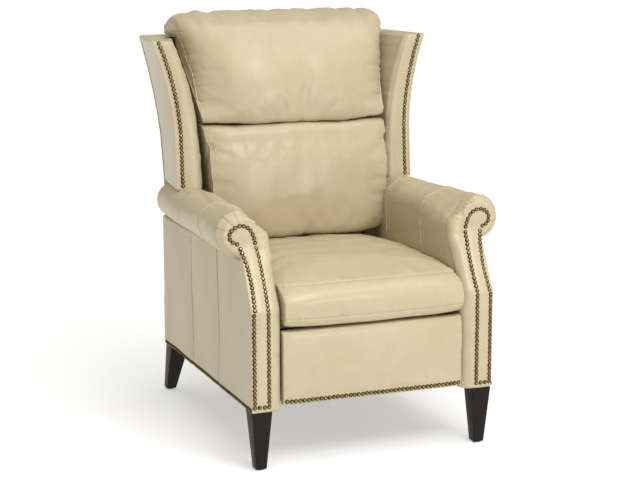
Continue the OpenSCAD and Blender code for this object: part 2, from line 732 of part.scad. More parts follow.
module footrest_pad() placed(leather) {
    nail_band = nail_r * 4;
    section = function (face, inset) [
        [rest_back_y, rest_low_z + inset], [face + rest_round, rest_low_z + inset],
        [face + inset, rest_low_z + inset + nail_edge / 8], [face, rest_low_z + nail_band / 4 + inset / 2],
        [face, rest_low_z + nail_band],
        [face - (inset == 0 ? nail_h : 0), rest_low_z + rest_h * 0.4],
        [face - (inset == 0 ? nail_h : 0), rest_low_z + rest_h * 0.7],
        [face, rest_top_z - rest_round], [face + rest_round, rest_top_z - inset], [rest_back_y, rest_top_z - inset]];
    ring = function (x, points) [for (p = points) [x, p[0], p[1]]];
    edge_x = rest_x - rest_round / 2;
    skin([
        ring(-rest_x, section(rest_front_y + rest_round / 2, rest_round / 4)),
        ring(-edge_x, section(rest_front_y, rest_round / 8)),
        ring(-edge_x * 0.8, section(rest_front_y, 0)),
        ring(edge_x * 0.8, section(rest_front_y, 0)),
        ring(edge_x, section(rest_front_y, rest_round / 8)),
        ring(rest_x, section(rest_front_y + rest_round / 2, rest_round / 4))]);
}

module footrest_brackets() placed(steel) both() difference() {
    union() {
        board_y = rest_back_y + rest_board_t;
        slab([[board_y, hub_z - flange_w * 3], [tip_high[0], hub_z - link_w / 2],
              [tip_high[0], hub_z + link_w / 2], [board_y, hub_z + link_w / 2]],
             bracket_x, bracket_x + steel_t);
        rod(tip_high, link_w / 2, bracket_x, bracket_x + steel_t);
        box([bracket_x - flange_w, board_y, hub_z - flange_w * 3],
            [bracket_x + steel_t, board_y + track_t, hub_z + link_w / 2]);
    }
    rod(tip_high, rivet_r + fit_gap, 0, side_x);
}

module nails_footrest() placed(brass) {
    reach = rest_x - rest_round / 2 - nail_r;
    count = floor(2 * reach / nail_pitch);
    for (i = [0 : count])
        nail([-reach + i * 2 * reach / count, rest_front_y - seat_gap / 3, rest_low_z + nail_pitch], 0);
}

// Back

module in_back() translate([0, frame_face(frame_foot_z), frame_foot_z]) rotate([-back_lean, 0, 0]) children();

module back_posts() placed(pine) both() in_back()
    box([frame_side_x - post_w, 0, 0], [frame_side_x, frame_d, frame_len]);

rail_in = frame_side_x - post_w;
function up_frame(z) = (z - frame_foot_z) / cos(back_lean);
rail_places = [up_frame(frame_z), up_frame(pillow_seam_z - back_rail_h / 2), frame_len - back_rail_h];
foot_rail_d = 33;
module back_rails() placed(pine) {
    in_back() for (v = rail_places) box([-rail_in, 0, v], [rail_in, frame_d / 2, v + back_rail_h]);
    // the rail that carries the foot of the outside back
    box([-frame_side_x, outside_y - foot_rail_d, frame_foot_z],
        [frame_side_x, outside_y, frame_foot_z + back_rail_h]);
}

back_spring_xs = [-1.5, -0.5, 0.5, 1.5];
module back_springs() placed(steel) in_back() for (i = [0, 1], j = back_spring_xs)
    translate([j * rail_in / 2, spring_t * 2, rail_places[i] + back_rail_h]) rotate([90, 0, 0])
        zigzag(rail_places[i + 1] - rail_places[i] - back_rail_h);

function held(p) = [min(p[0], frame_face(p[1]) - seat_gap), p[1]];

lumbar_middle_shares = [[0.6, 0], [0.25, 0.01], [0.06, 0.12], [0, 0.38], [0.03, 0.7], [0.1, 0.9],
                        [0.22, 0.99], [0.6, 1]];
lumbar_edge_shares = [[0.6, 0.04], [0.3, 0.05], [0.16, 0.13], [0.12, 0.38], [0.15, 0.62], [0.22, 0.8],
                      [0.32, 0.94], [0.6, 0.98]];
module lumbar_cushion() placed(leather) {
    tall = pillow_seam_z - crease_gap - lumbar_foot_z;
    at = function (p) let (z = lumbar_foot_z + p[1] * tall)
        [lumbar_front_y + p[0] * (frame_face(z) - lumbar_front_y), z];
    outline = function (shares) concat(
        [held([frame_y * 2, lumbar_foot_z + tall * 0.05])],
        smooth([for (p = shares) at(p)], 3),
        [held([frame_y * 2, lumbar_foot_z + tall * 0.98])]);
    cushion(outline(lumbar_middle_shares), outline(lumbar_edge_shares), function (z) lumbar_half(z),
        at([0.6, 0.5]));
}

head_middle_shares = [[0.45, 0.004], [0.24, 0.002], [0.07, 0.015], [0, 0.13], [0, 0.32], [0.08, 0.54],
                      [0.21, 0.75], [0.40, 0.915], [0.63, 1], [0.83, 0.96], [0.97, 0.85], [1, 0.775]];
head_edge_shares = [[0.45, 0.02], [0.33, 0.02], [0.19, 0.045], [0.215, 0.15], [0.272, 0.287], [0.377, 0.514],
                    [0.523, 0.73], [0.60, 0.81], [0.66, 0.86], [0.80, 0.865], [0.95, 0.82], [0.98, 0.775]];
module head_cushion() placed(leather) {
    low_z = pillow_seam_z + crease_gap;
    tall = head_top_z - low_z;
    ledge_z = wing_top_z + crease_gap;
    at = function (p) [head_front_y + p[0] * (head_rear_y - head_front_y), low_z + p[1] * tall];
    outline = function (shares) concat(
        [held([frame_y * 2, low_z + tall * 0.03])],
        smooth([for (p = shares) at(p)], 2),
        [[head_rear_y - crease_gap, ledge_z], [frame_face(ledge_z) - seat_gap, ledge_z],
         held([frame_y * 2, wing_top_z - back_rail_h])]);
    cushion(outline(head_middle_shares), outline(head_edge_shares), function (z) head_half(z),
        [frame_face(ledge_z) - side_t, ledge_z + side_t]);
}

// The wing's outline at one height: round front edge, outer face, rear, post side and cushion side
function wing_ring(z) = let (
        out = wing_outer(z), in = out - wing_face(z), front = wing_front(z),
        rear = outside_face(z) - seat_gap / 3, post = frame_face(z) - seat_gap,
        side = cushion_half(z) + crease_gap)
    [[in, front + wing_round, z], [in + wing_round, front, z], [out - wing_round, front, z],
     [out, front + wing_round, z], [wing_rear(z), rear, z], [wing_foot_half, rear, z],
     [wing_foot_half, post, z], [min(side, in + wing_round), post, z]];

// The wing frame's outline at one height, following the outer face
board_t = 16;
board_front = 30;
function board_ring(z, grow) = let (
        out = wing_outer(z) - wing_round, rear_out = wing_rear(z) - wing_round,
        front = wing_front(z) + board_front, rear = outside_face(z) - wing_round)
    [[out - board_t - grow, front - grow, z], [out + grow, front - grow, z],
     [rear_out + grow, rear + grow, z], [rear_out - board_t - grow, rear + grow, z]];

module wing(side) placed(leather) mirrored(side) {
    difference() {
        skin([for (i = [wing_levels : -1 : 0])
            wing_ring(wing_foot_z + (wing_top_z - wing_foot_z) * i / wing_levels)]);
        skin([for (i = [wing_levels : -1 : 0])
            board_ring(board_low + (board_high - board_low) * i / wing_levels, seat_gap)]);
    }
    tail_front = arm_len + crease_gap * 2;
    box([wing_foot_half + bracket_t * 2, tail_front, tail_z],
        [wing_rear(wing_foot_z), outside_y - seat_gap / 3, wing_foot_z]);
}
module wing_left() wing(1);
module wing_right() wing(-1);

board_low = wing_foot_z + board_t;
board_high = wing_top_z - board_t;
module wing_frames() placed(pine) both()
    skin([for (i = [wing_levels : -1 : 0]) board_ring(board_low + (board_high - board_low) * i / wing_levels, 0)]);

back_foot_z = pivot_z;
module outside_back() placed(leather) {
    run = (wing_top_z - tail_z) * tan(outside_lean);
    thick = outside_t / cos(outside_lean);
    low_x = panel_x - crease_gap * 3;
    levels = [for (i = [0 : wing_levels]) wing_foot_z + (wing_top_z - wing_foot_z) * i / wing_levels];
    // one side's edge, clear of the side panel below the wing
    edge = concat([[low_x, back_foot_z], [low_x, tail_z]], [for (z = levels) [wing_rear(z), z]]);
    intersection() {
        slab([[outside_y, back_foot_z], [outside_y + thick, back_foot_z], [outside_y + thick, tail_z],
              [outside_y + thick + run, wing_top_z], [outside_y + run, wing_top_z], [outside_y, tail_z]],
             -side_x * 2, side_x * 2);
        translate([0, side_len * 2, 0]) rotate([90, 0, 0]) linear_extrude(side_len * 2)
            polygon(concat(edge, [for (i = [len(edge) - 1 : -1 : 0]) [-edge[i][0], edge[i][1]]]));
    }
}

bracket_r = 16;
module back_brackets() placed(steel) both() difference() {
    foot = frame_face(frame_foot_z);
    union() {
        slab([[foot + frame_d / 4, frame_foot_z + crease_gap], [pivot_y, pivot_z - bracket_r],
              [outside_y - crease_gap, pivot_z], [outside_y - crease_gap, frame_foot_z + back_rail_h],
              [foot + frame_d, frame_foot_z + back_rail_h * 3], [foot + frame_d / 2, frame_foot_z + back_rail_h * 3]],
             frame_side_x, frame_side_x + bracket_t);
        rod(pivot, bracket_r, frame_side_x, frame_side_x + bracket_t);
    }
    rod(pivot, pivot_r + fit_gap, 0, side_x);
}

wing_nail_lift = 6;
module nails_wing(side) placed(brass) mirrored(side) {
    // clear of the arm's roll in front of the wing's foot
    low = wing_foot_z + nail_r + wing_nail_lift;
    high = wing_top_z - nail_r;
    count = floor((high - low) / nail_pitch);
    for (i = [0 : count]) let (z = low + (high - low) * i / count)
        nail([wing_outer(z) - wing_out, wing_front(z) - seat_gap / 3, z], wing_lean);
}
module nails_wing_left() nails_wing(1);
module nails_wing_right() nails_wing(-1);

leg_front_left();
leg_front_right();
leg_rear_left();
leg_rear_right();
leg_glides();
leg_bolts();
arm_left();
arm_right();
side_panel_left();
side_panel_right();
front_posts();
rear_posts();
arm_rails();
side_rails();
rear_rail();
front_stretcher();
rear_panel();
tracks();
back_pivot_plates();
back_pivot_pins();
nails_arm_left();
nails_arm_right();
nails_side_left();
nails_side_right();
seat_cushion();
seat_deck();
seat_springs();
seat_side_rails();
seat_cross_rails();
seat_plates();
glide_blocks();
seat_pins();
link_1();
torque_tube();
link_1_pins();
link_2();
link_2_pins();
link_3();
link_4();
link_4_pins();
footrest_board();
footrest_pad();
footrest_brackets();
nails_footrest();
back_posts();
back_rails();
back_springs();
lumbar_cushion();
head_cushion();
wing_left();
wing_right();
wing_frames();
outside_back();
back_brackets();
nails_wing_left();
nails_wing_right();
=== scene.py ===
import bpy
import bmesh
import json
import math
import numpy as np
from mathutils import Matrix, Vector
from mathutils.bvhtree import BVHTree


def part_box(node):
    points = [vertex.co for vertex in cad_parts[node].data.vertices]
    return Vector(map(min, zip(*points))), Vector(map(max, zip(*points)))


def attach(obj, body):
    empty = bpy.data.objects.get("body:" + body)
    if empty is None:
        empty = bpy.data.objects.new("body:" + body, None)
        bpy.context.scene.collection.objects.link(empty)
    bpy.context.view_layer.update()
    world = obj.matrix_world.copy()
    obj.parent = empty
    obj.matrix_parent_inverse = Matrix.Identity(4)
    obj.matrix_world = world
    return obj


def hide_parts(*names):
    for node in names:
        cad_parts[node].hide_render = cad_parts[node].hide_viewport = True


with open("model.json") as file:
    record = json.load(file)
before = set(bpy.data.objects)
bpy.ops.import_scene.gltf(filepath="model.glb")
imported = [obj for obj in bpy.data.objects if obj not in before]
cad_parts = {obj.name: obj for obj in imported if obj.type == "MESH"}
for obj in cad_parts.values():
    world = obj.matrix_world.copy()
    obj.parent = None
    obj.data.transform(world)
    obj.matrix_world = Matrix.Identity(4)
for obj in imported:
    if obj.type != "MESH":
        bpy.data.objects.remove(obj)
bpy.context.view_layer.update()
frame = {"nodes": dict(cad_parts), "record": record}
nodes = frame["nodes"]

# The chair is measured in millimetres: X across, Y back from the arms' fronts, Z up from the floor
MID_Y = 430.067
SIDE_NAMES = {1: "left", -1: "right"}
ANY_PHASE = 6.28
TINY = 1e-9


def placed(points):
    """Chair millimetres to the frame's metres."""
    out = np.array(points, float).reshape(-1, 3)
    out[:, 1] -= MID_Y
    return out / 1000


def chair(points):
    """The frame's metres to chair millimetres."""
    out = np.array(points, float).reshape(-1, 3) * 1000
    out[:, 1] += MID_Y
    return out


def linked(name, data):
    """A new object in the scene."""
    obj = bpy.data.objects.new(name, data)
    bpy.context.scene.collection.objects.link(obj)
    return obj


# Camera: its angles in degrees and its place are those of the photograph
CAMERA_ANGLES = (-21.584, 10.932, -0.114)
CAMERA_PLACE = (-1669.0, -3823.6, 1396.7)
CAMERA_LENS, CAMERA_SENSOR = 92.03, 36


def make_camera():
    turn, rise, roll = (math.radians(angle) for angle in CAMERA_ANGLES)
    back = Vector((math.sin(turn) * math.cos(rise), -math.cos(turn) * math.cos(rise), math.sin(rise)))
    right = Vector((0, 0, 1)).cross(back).normalized()
    up = back.cross(right)
    side = right * math.cos(roll) + up * math.sin(roll)
    top = up * math.cos(roll) - right * math.sin(roll)
    data = bpy.data.cameras.new("camera")
    data.lens, data.sensor_width = CAMERA_LENS, CAMERA_SENSOR
    camera = linked("camera", data)
    matrix = Matrix((side, top, back)).transposed().to_4x4()
    matrix.translation = placed([CAMERA_PLACE])[0]
    camera.matrix_world = matrix
    bpy.context.scene.camera = camera


make_camera()


# Reliefs: a number in front of a relief's term is its height in millimetres, minus where it sinks in.
# Lengths, reaches and places are millimetres too, and the last number of waves and fields is their seed

FIELD_WAVES = 7


def waves(u, lengths, seed):
    """A smooth uneven run of waves of about these lengths, from -1 to 1."""
    rng = np.random.default_rng(seed)
    u = np.asarray(u, float)
    total = np.zeros_like(u)
    for length in lengths:
        slow = length * rng.uniform(2.6, 4.2)
        warp = 0.35 * length * np.sin(u * 2 * math.pi / slow + rng.uniform(0, ANY_PHASE))
        height = rng.uniform(0.6, 1)
        total += height * np.sin((u + warp) * 2 * math.pi / length + rng.uniform(0, ANY_PHASE))
    return total / max(1, len(lengths)) ** 0.7


def field(points, length, seed):
    """A smooth uneven field in space, from about -1 to 1."""
    rng = np.random.default_rng(seed)
    total = np.zeros(points.shape[:-1])
    for _ in range(FIELD_WAVES):
        way = unit(rng.normal(size=3))
        wide = length * rng.uniform(0.7, 1.5)
        total += np.sin(points @ way * 2 * math.pi / wide + rng.uniform(0, ANY_PHASE))
    return total / math.sqrt(FIELD_WAVES) / 1.3


def unit(v):
    """Vectors along an array's last axis, made one long."""
    return v / np.maximum(np.linalg.norm(v, axis=-1, keepdims=True), TINY)


def bump(value, middle, width):
    return np.exp(-((value - middle) / width) ** 2)


def fade(distance, reach):
    """One at a line, and less away from it."""
    return np.exp(-np.abs(distance) / reach)


def mound(value, middle, half):
    """A round top, one high, that ends at half its width from the middle."""
    return np.clip(1 - ((value - middle) / half) ** 2, 0, 1)


def step(value, low, high):
    """From zero to one between low and high."""
    t = np.clip((value - low) / (high - low), 0, 1)
    return t * t * (3 - 2 * t)


def between(value, low, low_end, high_end, high):
    """One from low_end to high_end, and zero outside low and high."""
    return step(value, low, low_end) * step(-value, -high, -high_end)


def rounding(distance, radius):
    """How far a rounded edge has dropped, one at the edge itself and zero from its radius on."""
    return 1 - np.sqrt(np.clip(1 - (1 - np.clip(distance / radius, 0, 1)) ** 2, 0, 1))


def seam_pull(distance, along, lengths, reach, depth, seed):
    """Gathers that start at a seam and fade away from it."""
    return depth * waves(along, lengths, seed) * fade(distance, reach)


# Curves, grids and skins

def curve_at(points, params, closed=False):
    """Catmull-Rom through the points, at parameters counted in points."""
    p = np.asarray(points, float)
    n = len(p)
    i = np.floor(params).astype(int)
    i = np.minimum(i, n - 1 if closed else n - 2)
    t = (params - i)[:, None]
    a, b, c, d = (p.take(i + k, 0, mode="wrap" if closed else "clip") for k in (-1, 0, 1, 2))
    square, cube = 2 * a - 5 * b + 4 * c - d, 3 * b - a - 3 * c + d
    return 0.5 * (2 * b + (c - a) * t + square * t ** 2 + cube * t ** 3)


def run_along(points):
    """Each point's distance from the first, along the line."""
    return np.concatenate([[0], np.cumsum(np.linalg.norm(np.diff(points, axis=0), axis=1))])


def even_params(points, count, closed=False):
    """Parameters of a curve that lie the same distance apart along it."""
    n = len(points) if closed else len(points) - 1
    fine = np.linspace(0, n, n * 30 + 1)
    run = run_along(curve_at(points, np.minimum(fine, n - TINY), closed))
    goal = np.linspace(0, run[-1], count + 1 if closed else count)
    if closed:
        goal = goal[:-1]
    return np.minimum(np.interp(goal, run, fine), n - TINY)


def even_path(points, gap):
    """A line's points, set about this far apart."""
    p = np.asarray(points, float)
    run = run_along(p)
    goal = np.linspace(0, run[-1], max(3, int(run[-1] / gap)) + 1)
    return np.stack([np.interp(goal, run, p[:, k]) for k in range(3)], 1)


def grid_faces(rows, cols, wrap_cols=False, start=0):
    i, j = np.meshgrid(np.arange(rows - 1), np.arange(cols if wrap_cols else cols - 1), indexing="ij")
    k = (j + 1) % cols
    quads = np.stack([i * cols + j, i * cols + k, (i + 1) * cols + k, (i + 1) * cols + j], -1).reshape(-1, 4)
    return (quads + start).tolist()


def grid_normals(grid, axis, sign, wrap=True):
    """Normals of a grid. The middle ring's furthest point along the axis faces that way."""
    along = (np.roll(grid, -1, 1) - np.roll(grid, 1, 1)) / 2 if wrap else np.gradient(grid, axis=1)
    normal = unit(np.cross(np.gradient(grid, axis=0), along))
    row = len(grid) // 2
    far = np.argmax(sign * grid[row, :, axis])
    return normal if sign * normal[row, far, axis] > 0 else -normal


def outward(points, faces):
    """The faces, turned round if the closed form is inside out."""
    p = np.asarray(points, float)
    volume = 0
    for face in faces:
        a = p[face[0]]
        for m in range(1, len(face) - 1):
            volume += a @ np.cross(p[face[m]], p[face[m + 1]])
    return faces if volume > 0 else [face[::-1] for face in faces]


def capped(grid, hearts=None, bulge=0.0, shares=(0.96, 0.86, 0.66, 0.36)):
    """A closed skin over a grid of rings, each end closed by rings that shrink to a point."""
    rows, cols, _ = grid.shape
    points = [grid.reshape(-1, 3)]
    faces = grid_faces(rows, cols, True)
    total = rows * cols
    edge = np.arange(cols)
    for end, inner, start in ((0, 3, edge), (-1, -4, edge + total - cols)):
        ring = grid[end]
        heart = ring.mean(0) if hearts is None else np.asarray(hearts[end], float)
        out = unit(ring.mean(0) - grid[inner].mean(0)) * bulge
        points += [heart + (ring - heart) * share + out * (1 - share ** 2) for share in (*shares, 0)]
        points[-1] = points[-1][:1]
        ids = [start, *(edge + total + cols * k for k in range(len(shares)))]
        cap = [np.stack([a, np.roll(a, -1), np.roll(b, -1), b], 1).tolist() for a, b in zip(ids, ids[1:])]
        total += cols * len(shares) + 1
        cap.append([[a, b, total - 1] for a, b in zip(ids[-1].tolist(), np.roll(ids[-1], -1).tolist())])
        faces += [face if end else face[::-1] for part in cap for face in part]
    points = np.concatenate(points)
    return points, outward(points, faces)


def face_grid(low, high, rows, start, end, cols):
    """Each point's height and its place across, on an even grid."""
    return np.meshgrid(np.linspace(low, high, rows), np.linspace(start, end, cols), indexing="ij")


def shell(outer, inner):
    """A closed panel from two grids of one size, joined all round their rims."""
    rows, cols, _ = outer.shape
    n = rows * cols
    rim = [(0, j) for j in range(cols)] + [(i, cols - 1) for i in range(1, rows)]
    rim += [(rows - 1, j) for j in range(cols - 2, -1, -1)] + [(i, 0) for i in range(rows - 2, 0, -1)]
    rim = [i * cols + j for i, j in rim]
    faces = grid_faces(rows, cols) + [face[::-1] for face in grid_faces(rows, cols, start=n)]
    faces += [[a, a + n, b + n, b] for a, b in zip(rim, rim[1:] + rim[:1])]
    points = np.concatenate([outer.reshape(-1, 3), inner.reshape(-1, 3)])
    return points, outward(points, faces)


def tube(path, radius, sides):
    """A closed tube along a path. Its rings are carried along without twist."""
    path = np.asarray(path, float)
    n = len(path)
    way = unit(np.gradient(path, axis=0))
    first = unit(np.cross(way[0], [0.3, 0.5, 0.81]))
    rings = np.zeros((n, sides, 3))
    turn = np.linspace(0, 2 * math.pi, sides, endpoint=False)[:, None]
    for i in range(n):
        first = unit(first - way[i] * (first @ way[i]))
        second = np.cross(way[i], first)
        rings[i] = path[i] + radius * (np.cos(turn) * first + np.sin(turn) * second)
    points = rings.reshape(-1, 3)
    ends = [list(range(sides))[::-1], [(n - 1) * sides + j for j in range(sides)]]
    return points, outward(points, grid_faces(n, sides, True) + ends)


def joined(parts):
    points, faces, total = [], [], 0
    for p, f in parts:
        points.append(np.asarray(p, float))
        faces += [[i + total for i in face] for face in f]
        total += len(p)
    return np.concatenate(points), faces


def mirrored(points, side):
    out = np.array(points, float)
    if side < 0:
        out[..., 0] *= -1
    return out


def facing(faces, side):
    return faces if side > 0 else [face[::-1] for face in faces]


def tree_of(points, faces):
    return BVHTree.FromPolygons([Vector(p) for p in points], faces)


def mesh_points(mesh):
    """A mesh's points in chair millimetres."""
    flat = np.zeros(len(mesh.vertices) * 3)
    mesh.vertices.foreach_get("co", flat)
    return chair(flat)


def new_mesh(name, points, faces):
    mesh = bpy.data.meshes.new(name)
    mesh.from_pydata(placed(points).tolist(), [], faces)
    return mesh


def add(name, points, faces, stuff, body, replaces=(), sharp=None, slot="cream_leather"):
    mesh = new_mesh(name, points, faces)
    mesh.validate()
    mesh.shade_smooth()
    if sharp:
        mesh.set_sharp_from_angle(angle=math.radians(sharp))
    obj = linked(name, mesh)
    mesh.materials.append(stuff)
    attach(obj, body)
    if replaces:
        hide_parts(*replaces)
    return obj


def add_side(name, side, points, faces, stuff, body, replaces=(), sharp=None):
    """A piece that is drawn for the left side. Its side's name ends its own and its nodes' names."""
    end = SIDE_NAMES[side]
    replaces = [node + end for node in replaces]
    add(name + end, mirrored(points, side), facing(faces, side), stuff, body, replaces, sharp)


# Materials

def put(tree, node, values):
    """Fills a node's inputs: an output is linked in, anything else becomes the input's own value."""
    for key, value in values.items():
        if isinstance(value, bpy.types.NodeSocket):
            tree.links.new(value, node.inputs[key])
        else:
            node.inputs[key].default_value = value


def material(name, colour, roughness, metallic=0.0):
    mat = bpy.data.materials.new(name)
    mat.use_nodes = True
    tree = mat.node_tree
    shader = tree.nodes["Principled BSDF"]
    put(tree, shader, {"Base Color": (*colour, 1), "Roughness": roughness, "Metallic": metallic})
    return mat, tree, shader, tree.nodes.new("ShaderNodeTexCoord").outputs["Object"]


def made(tree, kind, values, **settings):
    """A new node with its settings and its inputs."""
    node = tree.nodes.new("ShaderNode" + kind)
    for key, value in settings.items():
        setattr(node, key, value)
    put(tree, node, values)
    return node


def noise(tree, where, scale, detail, rough, warp=0.0):
    values = {"Vector": where, "Scale": scale, "Detail": detail, "Roughness": rough, "Distortion": warp}
    return made(tree, "TexNoise", values).outputs["Fac"]


def cells(tree, where, scale, feature, uneven=1.0):
    values = {"Vector": where, "Scale": scale, "Randomness": uneven}
    return made(tree, "TexVoronoi", values, feature=feature).outputs["Distance"]


def bands(tree, where, scale, warp, way):
    values = {"Vector": where, "Scale": scale, "Distortion": warp}
    return made(tree, "TexWave", values, wave_type="BANDS", bands_direction=way).outputs["Fac"]


def spread(tree, value, low, high, to_low, to_high):
    values = {"From Min": low, "From Max": high, "To Min": to_low, "To Max": to_high, "Value": value}
    return made(tree, "MapRange", values).outputs["Result"]


def ramp(tree, value, stops):
    node = made(tree, "ValToRGB", {"Fac": value})
    marks = node.color_ramp.elements
    while len(marks) < len(stops):
        marks.new(0.5)
    for mark, (place, colour) in zip(marks, stops):
        mark.position = place
        mark.color = (*colour, 1)
    return node.outputs["Color"]


def tinted(tree, colour, tint):
    return made(tree, "Mix", {0: 1.0, 6: colour, 7: tint}, data_type="RGBA", blend_type="MULTIPLY").outputs[2]


def maths(tree, kind, a, b):
    return made(tree, "Math", {0: a, 1: b}, operation=kind).outputs[0]


def summed(tree, *parts):
    """Two heights added, each with its share."""
    return maths(tree, "ADD", *(maths(tree, "MULTIPLY", value, share) for value, share in parts))


def bumped(tree, shader, *layers):
    """Bump nodes in a chain: (height, strength, distance in metres) each."""
    before = {}
    for height, strength, distance in layers:
        values = {"Strength": strength, "Distance": distance, "Height": height, **before}
        before = {"Normal": made(tree, "Bump", values).outputs["Normal"]}
    put(tree, shader, before)


def make_leather(name, light, dark):
    mat, tree, shader, where = material(name, light, 0.42)
    broad = noise(tree, where, 4.5, 3.0, 0.55)
    patch = noise(tree, where, 38.0, 4.0, 0.6)
    grain = cells(tree, where, 620.0, "SMOOTH_F1", 0.95)
    pores = noise(tree, where, 1400.0, 2.0, 0.5)
    crease = cells(tree, where, 210.0, "DISTANCE_TO_EDGE")
    colour = ramp(tree, summed(tree, (broad, 0.65), (patch, 0.35)), [(0.32, dark), (0.66, light)])
    pits = spread(tree, grain, 0.05, 0.62, 1.0, 0.93)
    pits = ramp(tree, pits, [(0.9, (0.90, 0.88, 0.84)), (1.0, (1, 1, 1))])
    put(tree, shader, {"Base Color": tinted(tree, colour, pits), "Specular IOR Level": 0.3,
                       "Roughness": spread(tree, patch, 0.3, 0.7, 0.36, 0.47),
                       "Specular Tint": (1, 0.95, 0.86, 1), "Coat Weight": 0.27, "Coat Roughness": 0.25})
    lines = spread(tree, crease, 0.0, 0.09, 0.0, 1.0)
    bumped(tree, shader, (patch, 0.10, 0.0016), (lines, 0.10, 0.00012), (grain, 0.22, 0.00016),
           (pores, 0.12, 0.00006))
    return mat


def make_thread(name, colour):
    mat, tree, shader, where = material(name, colour, 0.6)
    twist = bands(tree, where, 240.0, 1.0, "DIAGONAL")
    dark = tuple(c * 0.78 for c in colour)
    put(tree, shader, {"Base Color": ramp(tree, twist, [(0.0, dark), (1.0, colour)])})
    bumped(tree, shader, (twist, 0.4, 0.0003))
    return mat


def make_wood(name, light, dark, roughness, grain_scale, coat=0.0, gloss=0.5):
    mat, tree, shader, where = material(name, light, roughness)
    where = made(tree, "Mapping", {"Scale": grain_scale, "Vector": where}).outputs["Vector"]
    grain = noise(tree, where, 190.0, 5.0, 0.62, 0.6)
    rings = noise(tree, where, 28.0, 3.0, 0.5, 1.2)
    tone = summed(tree, (grain, 0.5), (rings, 0.5))
    put(tree, shader, {"Base Color": ramp(tree, tone, [(0.36, dark), (0.64, light)]),
                       "Roughness": spread(tree, grain, 0.3, 0.7, roughness - 0.06, roughness + 0.08),
                       "Specular IOR Level": gloss, "Coat Weight": coat, "Coat Roughness": 0.22})
    bumped(tree, shader, (grain, 0.18, 0.0003))
    return mat


def make_metal(name, light, dark, roughness, metallic=1.0):
    mat, tree, shader, where = material(name, light, roughness, metallic)
    stain = noise(tree, where, 60.0, 4.0, 0.6)
    put(tree, shader, {"Base Color": ramp(tree, stain, [(0.35, dark), (0.68, light)]),
                       "Roughness": spread(tree, stain, 0.3, 0.7, roughness + 0.1, roughness - 0.05)})
    bumped(tree, shader, (noise(tree, where, 900.0, 2.0, 0.5), 0.12, 0.0001))
    return mat


def make_brass(name):
    """Antique nail heads: bright on top, partly rubbed wear and partly a painted highlight, and dark round
    the rim, partly antique finish and partly painted shade.
    """
    mat, tree, shader, where = material(name, (0.32, 0.2, 0.08), 0.34, 1.0)
    height = made(tree, "Attribute", {}, attribute_name="rise").outputs["Fac"]
    hammer = cells(tree, where, 620.0, "SMOOTH_F1")
    stain = noise(tree, where, 210.0, 3.0, 0.6)
    wear_and_painted_light = summed(tree, (height, 0.75), (stain, 0.35))
    # colour by height on the dome: the bright top is partly a painted highlight, the near-black rim partly
    # painted shade
    colour = ramp(tree, wear_and_painted_light, [(0.25, (0.010, 0.007, 0.003)), (0.66, (0.05, 0.034, 0.011)),
                               (0.88, (0.22, 0.16, 0.06)), (1.0, (0.62, 0.50, 0.25))])
    put(tree, shader, {"Base Color": colour, "Roughness": spread(tree, stain, 0.3, 0.7, 0.48, 0.30),
                       "Specular Tint": (0.34, 0.27, 0.14, 1)})
    bumped(tree, shader, (hammer, 0.35, 0.0005))
    return mat


def make_plastic(name, colour):
    mat, tree, shader, where = material(name, colour, 0.45)
    speck = noise(tree, where, 500.0, 2.0, 0.5)
    put(tree, shader, {"Roughness": spread(tree, speck, 0.3, 0.7, 0.40, 0.52)})
    bumped(tree, shader, (speck, 0.15, 0.0001))
    return mat


def make_webbing(name):
    mat, tree, shader, where = material(name, (0.42, 0.36, 0.27), 0.85)
    weave = maths(tree, "MULTIPLY", *(bands(tree, where, 130.0, 0.6, way) for way in "XY"))
    colour = ramp(tree, weave, [(0.0, (0.22, 0.18, 0.13)), (0.7, (0.47, 0.41, 0.31))])
    put(tree, shader, {"Base Color": colour})
    bumped(tree, shader, (weave, 0.5, 0.0006))
    return mat


ALONG_X, ALONG_Z = (0.06, 1, 1), (1, 1, 0.06)
leather = make_leather("leather_cream", (0.530, 0.460, 0.318), (0.472, 0.402, 0.264))
# The piping is the cream leather made lighter: a painted highlight for the light that catches the welts'
# round edges
painted_highlight_piping = make_leather("leather_piping_painted_highlight", (0.60, 0.54, 0.40), (0.55, 0.49, 0.35))
thread = make_thread("thread_cream", (0.74, 0.68, 0.54))
brass = make_brass("brass_aged")
espresso = make_wood("wood_espresso", (0.013, 0.008, 0.006), (0.006, 0.004, 0.003), 0.45, ALONG_Z,
                     coat=0.02, gloss=0.17)
pine = make_wood("wood_pine", (0.62, 0.44, 0.25), (0.46, 0.30, 0.15), 0.62, ALONG_X)
black_steel = make_metal("steel_black", (0.055, 0.055, 0.06), (0.03, 0.03, 0.032), 0.42, 0.7)
zinc = make_metal("steel_zinc", (0.62, 0.63, 0.65), (0.46, 0.46, 0.47), 0.32)
nylon = make_plastic("nylon_black", (0.03, 0.03, 0.032))
webbing = make_webbing("webbing_jute")

SLOT_STUFF = {"cream_leather": leather, "dark_wood": espresso, "frame_wood": pine, "aged_brass": brass,
              "black_steel": black_steel, "zinc_steel": zinc, "nylon": nylon, "webbing": webbing}


# Cushions: each is a run of rings between two outlines of [y, z] points, one at its middle, one at its ends

